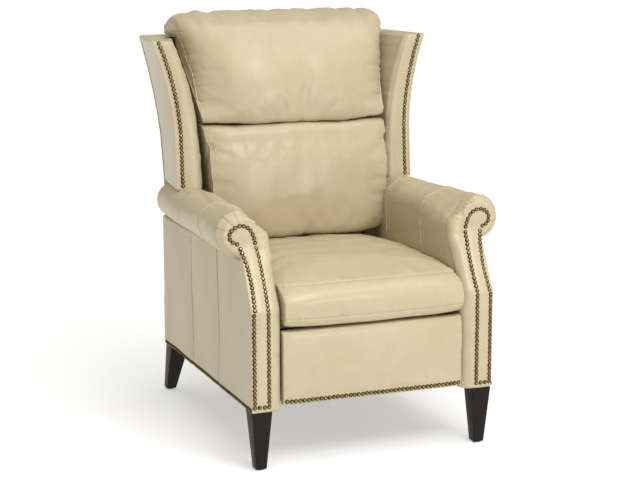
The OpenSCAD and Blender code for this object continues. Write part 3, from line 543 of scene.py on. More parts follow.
SEAT_MIDDLE = [
    [590, 380], [300, 379], [60, 377], [14, 374], [1, 377], [-7, 388], [-12, 405], [-15, 428], [-14, 448],
    [-6, 466], [6, 477], [21, 484.5], [45, 494], [90, 504], [160, 512], [250, 515.5], [360, 514.5],
    [460, 509], [530, 503], [580, 494], [600, 450], [599, 400]]
SEAT_ENDS = [
    [590, 384], [300, 384], [60, 383], [17, 382], [6, 386], [-3, 396], [-7, 409], [-6, 426], [-1, 442],
    [14, 458], [34, 468], [53, 475.5], [70, 479], [105, 483], [160, 486], [250, 487], [360, 486],
    [460, 484], [540, 478], [580, 458], [594, 430], [594, 400]]
LUMBAR_MIDDLE = [
    [690, 512], [640, 508], [585, 506], [545, 507], [525, 516], [515, 540], [512, 600], [513, 665],
    [517, 720], [522, 765], [527, 798], [534, 822], [549, 834], [600, 837], [680, 837], [733, 828],
    [724, 760], [711, 670], [700, 590], [692, 540]]
LUMBAR_ENDS = [
    [690, 514], [640, 513], [590, 513], [562, 516], [546, 528], [539, 562], [537, 605], [540, 655],
    [546, 714], [560, 768], [568, 790], [578, 812], [594, 829], [640, 834], [700, 832], [732, 826],
    [724, 760], [711, 670], [700, 590], [692, 540]]
HEAD_MIDDLE = [
    [733, 842], [690, 838], [640, 837], [590, 837], [560, 838], [547, 851], [544, 880], [549, 940],
    [560, 990], [577, 1033], [602, 1072], [634, 1106], [672, 1134], [712, 1150], [745, 1155], [785, 1150],
    [822, 1130], [846, 1104], [853, 1084], [838, 1079], [795, 1079], [771, 1079], [764, 1040], [752, 960]]
HEAD_ENDS = [
    [733, 846], [690, 842], [640, 840], [606, 842], [593, 853], [603, 880], [622, 905], [635, 940],
    [648, 972], [662, 1001], [680, 1032], [698, 1062], [708, 1088], [726, 1105], [756, 1111], [792, 1111],
    [820, 1104], [842, 1092], [847, 1084], [836, 1079], [795, 1079], [771, 1079], [764, 1040], [752, 960]]

# Half widths over height
SEAT_HALF = ([372, 384, 398, 415, 520], [246, 251, 253.5, 254.5, 254])
LUMBAR_HALF = ([510, 540, 600, 642, 680, 714, 752, 776, 794, 812, 835],
               [255, 257, 261, 265, 267, 269, 269, 271, 275, 277, 277])
HEAD_HALF = ([840, 862, 885, 929, 1001, 1069, 1110, 1133, 1155],
             [274, 281, 279, 284, 295, 309, 318, 322, 323])

# Where the seat's two front seams lie on its outlines, counted in points, and how the rings gather there
SEAT_SEAMS = (11, 5.6)
SEAM_REACH, SEAM_RINGS = 0.36, 19

# Creases at the lumbar cushion's foot (x, z, depth, width) and on the head cushion's top (x, depth, width)
LUMBAR_CREASES = ((-238, 536, 4.5, 9), (-222, 530, 3.5, 7), (-250, 552, 3.5, 8), (14, 528, 5.0, 9),
                  (30, 522, 3.0, 7))
HEAD_CREASES = ((-205, 5.5, 26), (-268, 3.0, 14), (-120, 2.0, 22), (110, 2.5, 28), (252, 4.5, 16),
                (205, 2.0, 20))

# The folds that fan out from the lumbar cushion's upper corners: their centre, and their ways in degrees
CORNER_X, CORNER_Z, CORNER_FOLDS = 272, 777, (-52, -24, 2, 30, 60)

CLOTH_FRAMES, CLOTH_PRESSURE = 14, 3.0


def outline_params(middle, count, seams=()):
    """Even places along a closed outline, with more of them close to its seams."""
    near = [seam + np.linspace(-SEAM_REACH, SEAM_REACH, SEAM_RINGS) for seam in seams]
    params = even_params(middle, count, True)
    for seam in seams:
        params = params[np.abs(params - seam) > SEAM_REACH + 0.02]
    return np.sort(np.concatenate([params, *near]))


def cushion(outlines, half, across, params, power, root, closed=True):
    """A cushion's rings, and each ring's place across it from -1 to 1. Power and root say over height how
    flat its crown is and how steeply it falls to the ends."""
    mid, rim = (curve_at(outline, params, closed) for outline in outlines)
    s = -np.cos(np.linspace(0, math.pi, across))[:, None]
    crown = (1 - np.abs(s) ** np.interp(mid[:, 1], *power)) ** np.interp(mid[:, 1], *root)
    yz = rim[None] + (mid - rim)[None] * crown[..., None]
    return s, np.concatenate([(s * half(yz[..., 1]))[..., None], yz], -1)


def simulated(points, faces, loose, grow, cap):
    """A cushion's cover after Blender's Cloth: cut a little too large, pinned where it is sewn or held, and
    pressed out by its filling, so that it swells between the seams and puckers beside them. Loose says how
    free each point is. The end caps come last and are held."""
    pin = np.ones(len(points))
    pin[:loose.size] = (1 - loose).ravel()
    mesh = new_mesh("cover", points, faces)
    obj = linked("cover", mesh)
    group = obj.vertex_groups.new(name="pin")
    for level in np.unique(np.round(pin, 1)):
        if level > 0:
            group.add(np.nonzero(np.round(pin, 1) == level)[0].tolist(), float(level), "REPLACE")
    cloth = obj.modifiers.new("cloth", "CLOTH")
    rule = cloth.settings
    rule.quality, rule.mass = 4, 0.25
    rule.tension_stiffness = rule.compression_stiffness = 18
    rule.shear_stiffness, rule.bending_stiffness = 8, 5
    rule.use_pressure, rule.uniform_pressure_force = True, CLOTH_PRESSURE
    rule.shrink_min = rule.shrink_max = -grow
    rule.vertex_group_mass = "pin"
    rule.pin_stiffness = 6
    rule.effector_weights.gravity = 0
    cloth.collision_settings.use_collision = False
    for number in range(1, CLOTH_FRAMES + 1):
        bpy.context.scene.frame_set(number)
    done = bpy.data.meshes.new_from_object(obj.evaluated_get(bpy.context.evaluated_depsgraph_get()))
    move = mesh_points(done) - points
    bpy.data.objects.remove(obj)
    for used in (mesh, done):
        bpy.data.meshes.remove(used)
    bpy.context.scene.frame_set(1)
    size = np.linalg.norm(move, axis=1, keepdims=True)
    return points + move * np.minimum(1, cap / np.maximum(size, 1e-6))


def add_cushion(part, body, grid, loose, hearts, bulge, grow, cap):
    """Closes a cushion's rings over its hearts, runs its cloth and puts it in place of its CAD solid."""
    points, faces = capped(grid, [[-hearts[0], *hearts[1:]], hearts], bulge)
    points = simulated(points, faces, loose, grow, cap)
    add(part + "_leather", points, faces, leather, body, (part,), 50)


def add_welts(name, lines, radii, stuff, body):
    parts = [tube(even_path(line, 4), radius, 7) for line, radius in zip(lines, radii)]
    add(name, *joined(parts), stuff, body)


def along_run(grid, col):
    """Each point's distance along its ring from the column of a seam."""
    gap = np.linalg.norm(np.roll(grid, -1, 1) - grid, axis=-1)
    run = np.concatenate([np.zeros((len(grid), 1)), np.cumsum(gap, 1)[:, :-1]], 1)
    out = run - run[:, col:col + 1]
    full = gap.sum(1, keepdims=True)
    return (out + full / 2) % full - full / 2


def seat_cushion():
    """Its front is boxed, with a seam above and below, and drawn in at the lower corners."""
    params = outline_params(SEAT_MIDDLE, 190, SEAT_SEAMS)
    s, grid = cushion((SEAT_MIDDLE, SEAT_ENDS), lambda z: np.interp(z, *SEAT_HALF), 120, params,
                      ([0], [3.2]), ([0], [0.55]))
    normal = grid_normals(grid, 2, 1)
    cols = [int(np.argmin(np.abs(params - seam))) for seam in SEAT_SEAMS]
    top, low = (along_run(grid, col) for col in cols)
    x, y, z = np.moveaxis(grid, -1, 0)
    lift = seam_pull(top, x, (13, 19, 31), 14, 0.75, 3) * (top < 2)
    lift += seam_pull(top, x, (17, 29, 47), 24, 0.9, 4) * (top > -2)
    lift += seam_pull(low, x, (16, 26), 12, 0.5, 5)
    lift -= 2.3 * bump(top, 0, 2.2) + 1.5 * bump(low, 0, 2.2)
    lift += 1.2 * bump(top, 9, 7) + 0.5 * bump(top, -7, 5)
    lift += 1.7 * field(grid * [1, 0.8, 0.4], 190, 6) * step(top, 0, 60) * step(z, 450, 490)
    lift += 0.9 * field(grid, 75, 7) * step(top, 0, 40)
    lift += 0.8 * field(grid * [1, 1, 0.5], 120, 8) * (top <= 0)
    ends = 1 - np.abs(s)
    lift += 0.9 * waves(y + z, (33, 52), 9) * fade(ends, 0.05)
    grid = grid + normal * lift[..., None]
    loose = step(grid[..., 2], 378, 398) * step(ends, 0, 0.012) * (grid[..., 1] < 560)
    loose *= step(np.abs(top), 1, 6) * step(np.abs(low), 1, 6) * np.where(top < 0, 0.5, 1)
    add_cushion("seat_cushion", "seat", grid, loose, [252, 300, 430], 1.5, 0.006, 6)
    add_welts("seat_cushion_seams", [grid[3:-3, col] for col in cols], (1.0, 0.8), leather, "seat")


def swells(grid, from_side, deep, lengths, seed):
    """The wide swells of a back cushion, and smaller ones on them."""
    wide = 2.2 * field(grid * [1, deep, 1], lengths[0], seed) * step(from_side, 10, 60)
    return wide + field(grid * [1.2, deep, 0.8], lengths[1], seed + 1)


def lumbar_cushion():
    params = outline_params(LUMBAR_MIDDLE, 170)
    s, grid = cushion((LUMBAR_MIDDLE, LUMBAR_ENDS), lambda z: np.interp(z, *LUMBAR_HALF), 120, params,
                      ([560, 820], [3.0, 3.6]), ([0], [0.66]))
    normal = grid_normals(grid, 1, -1)
    x, y, z = np.moveaxis(grid, -1, 0)
    from_side = (1 - np.abs(s)) * 262
    lift = seam_pull(from_side, z + 0.12 * x, (21, 33, 52), 26, 1.7, 21)
    lift += swells(grid, from_side, 0.4, (210, 85), 22)
    lift += seam_pull(np.maximum(z - 515, 0), x, (34, 55, 88), 26, 1.2, 24)
    for x0, z0, deep, wide in LUMBAR_CREASES:
        slant = x - x0 - 0.35 * (z - z0)
        above = np.maximum(z - z0, 0)
        lift -= deep * np.exp(-(slant / wide) ** 2 - (above / 22) ** 2) * (z < z0 + 60)
    lift += seam_pull(np.maximum(836 - z, 0), x, (38, 61, 97), 20, 0.5, 25)
    for sign in (-1, 1):
        dx, dz = CORNER_X - x * sign, z - CORNER_Z
        gap = np.hypot(dx, dz)
        way = np.degrees(np.arctan2(dz, dx))
        lift -= 2.6 * sum(bump(way, fold, 7) for fold in CORNER_FOLDS) * bump(gap, 16, 18)
        lift -= 6.0 * bump(gap, 0, 11)
    grid = grid + normal * (lift * step(-y, -680, -640))[..., None]
    y, z = grid[..., 1], grid[..., 2]
    loose = step(from_side, 0, 5) * between(z, 512, 530, 770, 836) * step(-y, -690, -660)
    add_cushion("lumbar_cushion", "back", grid, loose, [258, 660, 670], 2.0, 0.009, 8)
    span = (params >= 3.5) & (params <= 13)
    add_welts("lumbar_cushion_welts", (grid[1][span], grid[-2][span]), (1.6, 1.6), painted_highlight_piping, "back")


def head_half(z):
    """The sides swell and draw in a little on the way up."""
    wave = 2.2 * np.sin((z - 840) / 9.5) * bump(z, 900, 60) + 2.0 * np.sin((z - 900) / 14.0)
    return np.interp(z, *HEAD_HALF) + wave * 0.6


def head_cushion():
    params = outline_params(HEAD_MIDDLE, 190)
    s, grid = cushion((HEAD_MIDDLE, HEAD_ENDS), head_half, 130, params,
                      ([900, 1040, 1140], [3.2, 3.8, 7.5]), ([1000, 1140], [0.78, 0.42]))
    normal = grid_normals(grid, 1, -1)
    x, y, z = np.moveaxis(grid, -1, 0)
    from_side = (1 - np.abs(s)) * 290
    lift = seam_pull(from_side, z + 0.25 * np.abs(x), (17, 26, 41), 24, 2.3, 31)
    lift += swells(grid, from_side, 0.5, (200, 80), 32)
    lift += seam_pull(np.maximum(z - 842, 0), x, (31, 50, 83), 24, 1.1, 34)
    lift *= step(-y, -770, -690)
    top = step(z, 1090, 1140)
    for x0, deep, wide in HEAD_CREASES:
        lift -= deep * bump(x, x0, wide) * top
    lift += 1.2 * waves(x, (46, 71), 35) * top
    loose = step(from_side, 0, 5) * step(z, 842, 862) * step(-y, -830, -790)
    grid = grid + normal * lift[..., None]
    add_cushion("head_cushion", "back", grid, loose, [316, 758, 1092], 1.0, 0.014, 8)
    span = (params >= 4.2) & (params <= 16.5)
    add_welts("head_cushion_welts", (grid[1][span], grid[-2][span]), (2.0, 2.0), painted_highlight_piping, "back")


seat_cushion()
lumbar_cushion()
head_cushion()


# Footrest panel: one upholstered board, whose face runs up from its foot and round at both ends

FOOTREST_MIDDLE = [[27, 170], [14, 169.5], [6, 171], [2.6, 176], [1.6, 186], [0.4, 215], [-0.6, 265],
                   [-0.2, 315], [1.8, 345], [5.5, 360], [12, 366], [27, 367.5]]
FOOTREST_ENDS = [[27, 171], [17, 170.5], [11, 172], [8, 177], [7, 187], [6.5, 215], [6, 265], [6.4, 315],
                 [7.6, 343], [10, 356], [16, 363.5], [27, 366]]
FOOTREST_HALF = 255.5


def footrest():
    params = even_params(FOOTREST_MIDDLE, 70)
    _, grid = cushion((FOOTREST_MIDDLE, FOOTREST_ENDS), lambda z: np.full_like(z, FOOTREST_HALF), 120, params,
                      ([0], [9]), ([0], [0.6]), False)
    x, z, flat = grid[..., 0], grid[..., 2], grid * [1, 0, 1]
    rise = 0.9 * field(flat, 160, 41) * between(z, 190, 215, 330, 358)
    rise += 0.5 * field(flat, 62, 42) * step(z, 190, 215)
    rise += seam_pull(255 - np.abs(x), z, (24, 37), 16, 0.7, 43)
    rise -= 0.8 * bump(z, 190, 5)
    grid = grid + grid_normals(grid, 1, -1, False) * rise[..., None]
    points, faces = capped(grid, bulge=0.5, shares=(0.9, 0.5))
    piece = add("footrest_pad_leather", points, faces, leather, "footrest", ("footrest_pad",), 60)
    return piece


rest_piece = footrest()


# Arms: the CAD solid's own form, remeshed so that its leather can be shaped

ARM_VOXEL, ARM_PASSES = 0.0026, 9
# The roll's axis: x and z at its front end, how far it drifts, where it starts and how long it is
ROLL_X, ROLL_Z, ROLL_DRIFT_X, ROLL_DRIFT_Z = 343, 613, 20, 8
ROLL_START, ROLL_LENGTH = 85, 748 - 85
# The arm's front leans back by this much between these heights
LEAN_FOOT, LEAN_RISE, LEAN_BACK = 425, 158, 85
# The middle of the scroll's nails, and where the arm's and side panel's two seams lie
LOOP_X, LOOP_Z = 338, 609
SEAMS_Y = (275, 510)
# Pleats round each scroll: the way in degrees and the depth of each
PLEATS = {1: ((-38, 2.2), (-12, 2.6), (14, 2.4), (38, 2.8), (62, 2.5), (88, 2.8), (114, 2.6), (141, 2.8),
              (166, 1.8)),
          -1: ((-30, 2.0), (-4, 2.4), (20, 2.6), (47, 2.8), (72, 2.4), (99, 2.8), (126, 2.4), (152, 2.2),
               (176, 1.6))}
# The arm's inner shoulder, x and z: as the solid has it, and as the padding slopes behind the scroll
SHOULDER_FOOT, SHOULDER_END = 560, 343
SHOULDER_NOW = ([257, 265, 272, 280, 290, 300, 320, 343], [622, 641, 646, 653, 658, 661, 670, 673])
SHOULDER_GOAL = ([257, 262, 283, 300, 313, 328, 343], [600, 604, 621, 641, 653, 664, 673])


def roll_centre(y):
    """The middle of the arm's roll, x and z, at a depth."""
    share = np.clip((y - ROLL_START) / ROLL_LENGTH, 0, 1)
    return ROLL_X - ROLL_DRIFT_X * share, ROLL_Z - ROLL_DRIFT_Z * share


def front_lean(z):
    """How far back the arm's front lies at a height."""
    return np.clip((z - LEAN_FOOT) * LEAN_BACK / LEAN_RISE, 0, LEAN_BACK)


def relaxed(points, edges, weight, shares):
    """Draws a mesh's points towards their neighbours, by each share in turn and each point's weight."""
    pick = edges[weight[edges].max(1) > 0]
    ids, pick = np.unique(pick, return_inverse=True)
    pick = pick.reshape(-1, 2)
    near, weight = points[ids], weight[ids][:, None]
    degree = np.bincount(pick.ravel())[:, None]
    for share in shares:
        total = [np.bincount(pick[:, 0], near[pick[:, 1], k], len(ids)) +
                 np.bincount(pick[:, 1], near[pick[:, 0], k], len(ids)) for k in range(3)]
        near = near + share * weight * (np.stack(total, 1) / degree - near)
    out = points.copy()
    out[ids] = near
    return out


def remeshed(node, voxel, passes):
    """A CAD node's form in small even faces, its corners and the remesh's ripples smoothed."""
    mesh = nodes[node].data.copy()
    temp = linked("temp", mesh)
    mod = temp.modifiers.new("remesh", "REMESH")
    mod.mode, mod.voxel_size, mod.adaptivity = "VOXEL", voxel, 0.0
    done = bpy.data.meshes.new_from_object(temp.evaluated_get(bpy.context.evaluated_depsgraph_get()))
    bpy.data.objects.remove(temp)
    points = mesh_points(done)
    edges = np.zeros(len(done.edges) * 2, int)
    done.edges.foreach_get("vertices", edges)
    edges = edges.reshape(-1, 2)
    faces = [list(p.vertices) for p in done.polygons]
    for used in (mesh, done):
        bpy.data.meshes.remove(used)
    return relaxed(points, edges, np.ones(len(points)), (0.55, -0.57) * passes + (0.5, 0.5)), faces, edges


def vertex_normals(points, faces):
    quads = np.array([f if len(f) == 4 else [*f, f[2]] for f in faces])
    n = np.cross(points[quads[:, 2]] - points[quads[:, 0]], points[quads[:, 3]] - points[quads[:, 1]])
    total = np.zeros_like(points)
    for k in range(4):
        np.add.at(total, quads[:, k], n)
    return unit(total)


def sloped_shoulder(p):
    """Behind the scroll's face the padding slopes from the roll's top to the inner face."""
    x, y, z = p.T
    high = z - SHOULDER_FOOT
    share = (np.interp(x, *SHOULDER_GOAL) - SHOULDER_FOOT) / (np.interp(x, *SHOULDER_NOW) - SHOULDER_FOOT)
    change = 0.72 * (1 - step(y, 95, 330)) * (x < SHOULDER_END) * (high > 0)
    out = p.copy()
    out[:, 2] = z - change * high * (1 - share)
    return out


def seam_place(side, k, angle):
    """Where a seam crosses the roll: the rear one runs forward over the top of the right arm."""
    skew = 6 * np.sin(np.radians(angle * 2 + 40))
    drift = 46 * step(np.asarray(angle, float), -50, 70) if side < 0 and k == 1 else 0
    return SEAMS_Y[k] + skew - drift


def scroll_relief(side, p, ahead, away):
    """The scroll's face: a small dome inside the nails, pleats outside them."""
    x, y, z = p.T
    r = np.hypot((x - LOOP_X) / 1.1, z - LOOP_Z)
    turn = np.degrees(np.arctan2(z - LOOP_Z, x - LOOP_X))
    pleat = np.zeros(len(p))
    for at, deep in PLEATS[side]:
        wide = np.radians((turn - at + 180) % 360 - 180) * r
        pleat += 0.75 * deep * bump(wide, 0, 2.1) - 0.35 * deep * bump(wide, 6.5, 4.5)
    dome_face = 1.8 * mound(r, 0, 25) * ahead * (y < 100) * (z > 560)
    return dome_face - pleat * step(r, 35, 39) * (1 - step(y, 104, 126)) * (z > 570) * (away < 75)


def roll_relief(side, p, angle):
    """Seams round the roll with short pulls beside them, and wide softness between."""
    y = p[:, 1]
    lift = np.zeros(len(p))
    for k in range(2):
        off = y - seam_place(side, k, angle)
        lift += 1.0 * bump(np.abs(off), 13, 9) - 2.4 * bump(off, 0, 2.6)
        lift += 1.0 * waves(angle + 20 * k, (14, 23, 37), 51 + k) * fade(off, 22)
    lift += 1.3 * waves(y, (34, 57, 92), 54) * bump(angle, -45, 22)
    lift += 1.5 * field(p * [1, 0.7, 1], 150, 55) + 0.9 * field(p, 62, 56)
    # the fold where the roll dips behind the scroll
    return lift - 3.0 * bump(y, 128 + 10 * np.sin(np.radians(angle)), 7) * bump(angle, 150, 30)


def shape_arm(side):
    """The arm's leather. Returns its points, drawn for the left side, and its faces."""
    node = "arm_" + SIDE_NAMES[side]
    points, faces, edges = remeshed(node, ARM_VOXEL, ARM_PASSES)
    p, faces = sloped_shoulder(mirrored(points, side)), facing(faces, side)
    x, y, z = p.T
    inner_front = (1 - step(x, 282, 302)) * (1 - step(y, 190, 290)) * step(z, 425, 480)
    p = relaxed(p, edges, inner_front, [0.5] * 300)
    n = vertex_normals(p, faces)
    x, y, z = p.T
    cx, cz = roll_centre(y)
    angle = np.degrees(np.arctan2(z - cz, x - cx))
    lift = 6.0 * (1 - step(x, 268, 290)) * (1 - step(y, 90, 170)) * between(z, 522, 560, 590, 625)
    # padded band between the nail columns, wide rounding of the inner front edge
    ahead = step(-n[:, 1], 0.55, 0.85)
    lift += 2.4 * mound(x, 316.5, 16) * ahead * (z < 585) * step(z, 165, 190)
    over = np.clip((293 - x) / 36, 0, 1)
    lift += 7.5 * mound(2 * over, 1, 1) * (y < front_lean(z) + 34) * step(-n[:, 0] - n[:, 1], 0.9, 1.3)
    lift += scroll_relief(side, p, ahead, np.hypot(x - cx, z - cz))
    lift += roll_relief(side, p, angle) * step(z, 545, 575) * (y > 70)
    # the inner face lies back a little, to leave the seat its way
    lift += (0.7 * field(p * [0.6, 1, 1], 130, 57) - 0.9) * (1 - step(x, 262, 268)) * step(y, 90, 130)
    # the crease on the bevel
    lift -= 2.0 * bump(z, 305 + 0.6 * (x - 275), 4) * bump(x, 276, 12) * (y < 40)
    p = p + n * lift[:, None]
    add_side("arm_leather_", side, p, faces, leather, "base", ("arm_",))
    return p, faces


def arm_seam_path(tree, side, k):
    """A seam's way over the roll and down the inner face, found by rays onto the arm's skin."""
    path = []
    for angle in np.linspace(-62, 178, 90):
        y = float(seam_place(side, k, angle))
        x, z = roll_centre(y)
        way = Vector((math.cos(math.radians(angle)), 0, math.sin(math.radians(angle))))
        path.append(tree.ray_cast(Vector((x, y, z)) + way * 160, -way)[0])
    low = [hit for hit in path if hit is not None][-1]
    for z in np.arange(low[2] - 8, 505, -8):
        path.append(tree.ray_cast(Vector((200, low[1] - (low[2] - z) * 0.02, z)), Vector((1, 0, 0)))[0])
    return np.array([hit for hit in path if hit is not None])


arms = {side: shape_arm(side) for side in SIDE_NAMES}
for side, skin in arms.items():
    tree = tree_of(*skin)
    parts = [tube(even_path(arm_seam_path(tree, side, k), 5), 1.2, 6) for k in range(2)]
    add_side("arm_seams_", side, *joined(parts), thread, "base")


# Side panels

PANEL_FOOT, PANEL_TOP, PANEL_BACK, PANEL_X = 160.5, 553, 790, 345.0
# How each panel seam wanders: its reach, its length and where it starts
PANEL_WANDER = ((5, 70, 0), (4, 60, 1))


def panel_seam(k, z):
    reach, length, start = PANEL_WANDER[k]
    return SEAMS_Y[k] + reach * np.sin(z / length + start)


def side_panel(side):
    """A side's outer leather with its two seams. Returns its points, drawn for the left side, and faces."""
    z, share = face_grid(PANEL_FOOT, PANEL_TOP, 150, 0, PANEL_BACK, 260)
    share = share / PANEL_BACK
    lean = front_lean(z)
    y = lean + (PANEL_BACK - lean) * share
    x = np.full_like(y, PANEL_X)
    rise = np.zeros_like(y)
    for k in range(2):
        off = y - panel_seam(k, z)
        rise += seam_pull(off, z, (26, 43, 71), 20, 0.9, 61 + k)
        rise -= 1.9 * bump(off, 0, 2.8) + 1.5 * fade(off, 26)
    rise += 1.1 * field(np.stack([x, y, z * 0.7], -1), 190, 63)
    rise += 0.8 * waves(y, (38, 61, 97), 64) * np.exp((z - 552) / 34)
    rise -= 2.0 * fade(z - 168, 9)
    edge = np.minimum(np.maximum(y - lean, 0), PANEL_BACK - y)
    x = x + rise * step(edge, 1, 12) + 1.2
    x -= 6.5 * rounding(edge, 7) + 4.0 * rounding(z - 160, 5) + 7.0 * rounding(553 - z, 9)
    inner = np.stack([np.full_like(y, 336.0), np.clip(y, lean + 4, 786), np.clip(z, 162, 551)], -1)
    points, faces = shell(np.stack([x, y, z], -1), inner)
    add_side("side_leather_", side, points, faces, leather, "base", ("side_panel_",), 60)
    z = np.arange(178, 552, 5.0)
    stitches = [tube(np.stack([np.full_like(z, 344.8), panel_seam(k, z), z], 1), 1.1, 6) for k in range(2)]
    add_side("side_seams_", side, *joined(stitches), thread, "base")
    return points, faces


sides = {side: side_panel(side) for side in SIDE_NAMES}


# Wings: outlines over height, and a ring of skin at each height

WING_FOOT, WING_TOP = 657, 1076
WING_RISE = WING_TOP - WING_FOOT
WING_ROUND, WING_ROWS = 6, 150
NAIL_LINE = 11


def leant(z, start, degrees):
    return (z - start) * math.tan(math.radians(degrees))


def wing_outer(z):
    """The outer front edge, which flares by 56 over the upper two thirds."""
    return 362 + 56 * np.maximum(0, ((z - WING_FOOT) / WING_RISE - 0.34) / 0.66) ** 1.9


def wing_in(z):
    """The inner front edge: the wing's face is 79 wide at its foot and 62 at its top."""
    return wing_outer(z) - (79 + (62 - 79) * (z - WING_FOOT) / WING_RISE)


def wing_front(z):
    """How far back the front face lies."""
    return 577 + leant(z, WING_FOOT, 4.1)


def wing_rear_x(z):
    """The outer rear edge, which flares by 48."""
    share = np.maximum(0, (z - WING_FOOT) / WING_RISE)
    return 336 + 8 * share + 40 * np.maximum(0, (share - 0.28) / 0.72) ** 1.6


def outside_face(z):
    """How far back the back frame's rear lies, upright below 600."""
    return 783 + leant(np.maximum(z, 600), 600, 9.3)


def frame_face(z):
    """How far back the posts' front lies."""
    return 690 + leant(z, 512, 8)


def cushion_side(z):
    """Half the width that the back's cushions take up at a height."""
    return max(250 + 25 * (np.minimum(z, 837) - 510) / 327, 270 + 54 * (z - 837) / 318)


def arc(cx, cy, r, start, end, n):
    turns = np.radians(np.linspace(start, end, n))
    return [[cx + r * math.cos(t), cy + r * math.sin(t)] for t in turns]


def line(start, end, count):
    """Points between two ends, without the ends."""
    return np.linspace(start, end, count + 2)[1:-1].tolist()


def wing_ring(z, shrink):
    out, inner, front = wing_outer(z) - shrink, wing_in(z) + shrink, wing_front(z) + shrink
    rear_x, rear, post = wing_rear_x(z) - shrink, outside_face(z) - 1 - shrink, frame_face(z) - 3
    start = [min(cushion_side(z) + 2, wing_in(z) + 12 + shrink) + shrink, post]
    ring = [start]
    ring += line(start, [inner, front + 20], 24)
    ring += arc(inner + 18, front + 18, 18, 180, 270, 12)
    ring += line([inner + 18, front], [out - 5, front], 24)
    ring += arc(out - 4, front + 4, 4, 270, 360, 7)
    ring += line([out, front + 4], [rear_x, rear - 4], 32)
    ring += arc(rear_x - 4, rear - 4, 4, 10, 90, 5)
    ring += line([rear_x - 5, rear], [262, rear], 6) + [[262, rear]]
    ring += line([262, rear], [262, post], 4) + [[262, post]]
    return [[x, y, z] for x, y in ring]


def wing(side):
    """A wing's leather and its welt. Returns its rings, drawn for the left side."""
    turns = np.radians(np.linspace(15, 90, 6))
    heights = np.linspace(657.5, WING_TOP - WING_ROUND, WING_ROWS)
    heights = np.concatenate([heights, WING_TOP - WING_ROUND * (1 - np.sin(turns))])
    shrinks = [0.0] * WING_ROWS + [WING_ROUND * (1 - math.cos(turn)) for turn in turns]
    grid = np.array([wing_ring(z, shrink) for z, shrink in zip(heights, shrinks)])
    normal = grid_normals(grid, 1, -1)
    x, y, z = np.moveaxis(grid, -1, 0)
    out, inner, front = wing_outer(z), wing_in(z), wing_front(z)
    on_front = step(-normal[..., 1], 0.75, 0.95)
    on_inner = step(-normal[..., 0], 0.4, 0.7)
    # padding between the inner edge and the nails, and the flat strip outside them
    nailed = out - 2 * NAIL_LINE
    rise = 3.0 * mound(x, (inner + nailed) / 2, (nailed - inner) / 2 + 1) * on_front
    rise -= 0.9 * bump(out - x, NAIL_LINE, 2.2) * on_front
    rise += 1.3 * field(grid * [1, 0.5, 1], 130, 71) * on_front * ((x - inner) / (out - inner) < 0.8)
    share = np.clip((y - front) / (outside_face(z) - front), 0, 1)
    rise += 2.0 * np.sin(np.pi * share) * step(normal[..., 0], 0.6, 0.9)
    rise += (1.8 * field(grid * [0.5, 1, 1], 120, 72) + 1.0 * waves(z, (40, 66), 73)) * on_inner
    rise *= step(WING_TOP - z, 0, 14)
    grid = grid + normal * rise[..., None]
    points, faces = capped(grid, shares=(0.9, 0.6, 0.3))
    add_side("wing_leather_", side, points, faces, leather, "back", ("wing_",), 55)
    # the welt runs up the outer edge's front and back along the top
    up = [[wing_outer(v) - 1.2, wing_front(v) + 0.6, v] for v in np.linspace(659, 1074, 110)]
    ends = [[wing_outer(WING_TOP) - 2, wing_front(WING_TOP) + 1, 1075.6],
            [wing_rear_x(WING_TOP) - 2, outside_face(WING_TOP) - 2, 1075.6]]
    over = [np.add(ends[0], np.subtract(ends[1], ends[0]) * t) for t in np.linspace(0.01, 1, 40)]
    add_side("wing_welt_", side, *tube(even_path([*up, *over], 4), 2.1, 8), painted_highlight_piping, "back")
    return grid


wings = {side: wing(side) for side in SIDE_NAMES}


# Outside back, back lining and rear panel

def outside_back():
    z = np.linspace(336, 1074, 120)
    low, high = 328, wing_rear_x(z) - 4
    half = low + (high - low) * np.clip((z - 585) / 30, 0, 1)
    s = np.linspace(-1, 1, 90)
    x = s[None] * half[:, None]
    zz = np.broadcast_to(z[:, None], x.shape)
    p = np.stack([x, outside_face(zz) + 14.2, zz], -1)
    edge = np.minimum((1 - np.abs(s))[None] * half[:, None], np.minimum(zz - 335, WING_TOP - zz))
    rise = 4.0 * (1 - fade(edge, 60)) + 1.6 * field(p * [1, 0, 1], 210, 81) * step(edge, 5, 60)
    rise += 0.8 * field(p * [1, 0, 1], 80, 82) * step(edge, 5, 40) - 5.0 * rounding(edge, 6)
    inner = np.stack([x * 0.985, outside_face(zz) + 1.0, np.clip(zz, 338, 1073)], -1)
    add("outside_back_leather", *shell(p + rise[..., None] * [0, 1, 0], inner), leather, "back",
        ("outside_back",), 60)
    right = np.stack([half + 0.5, outside_face(z) + 13.5, z], 1)
    x = np.linspace(-half[-1], half[-1], 120)[1:-1]
    top = np.stack([x, np.full_like(x, outside_face(1075) + 13.5), np.full_like(x, 1075)], 1)
    loop = np.vstack([right * [-1, 1, 1], top, right[::-1]])
    add("outside_back_welt", *tube(even_path(loop, 5), 2.2, 8), leather, "back")


def back_lining():
    """Leather stretched over the foot of the back frame, seen behind the seat when the back is down."""
    z, x = face_grid(350, 513, 24, -248.5, 248.5, 60)
    sag = 0.7 * field(np.stack([x, 0 * x, z], -1), 110, 85)
    front = np.stack([x, frame_face(z) - 2.6 + sag, z], -1)
    piece = add("back_lining", *shell(front, front + [0, 1.2, 0]), leather, "back", (), 60)


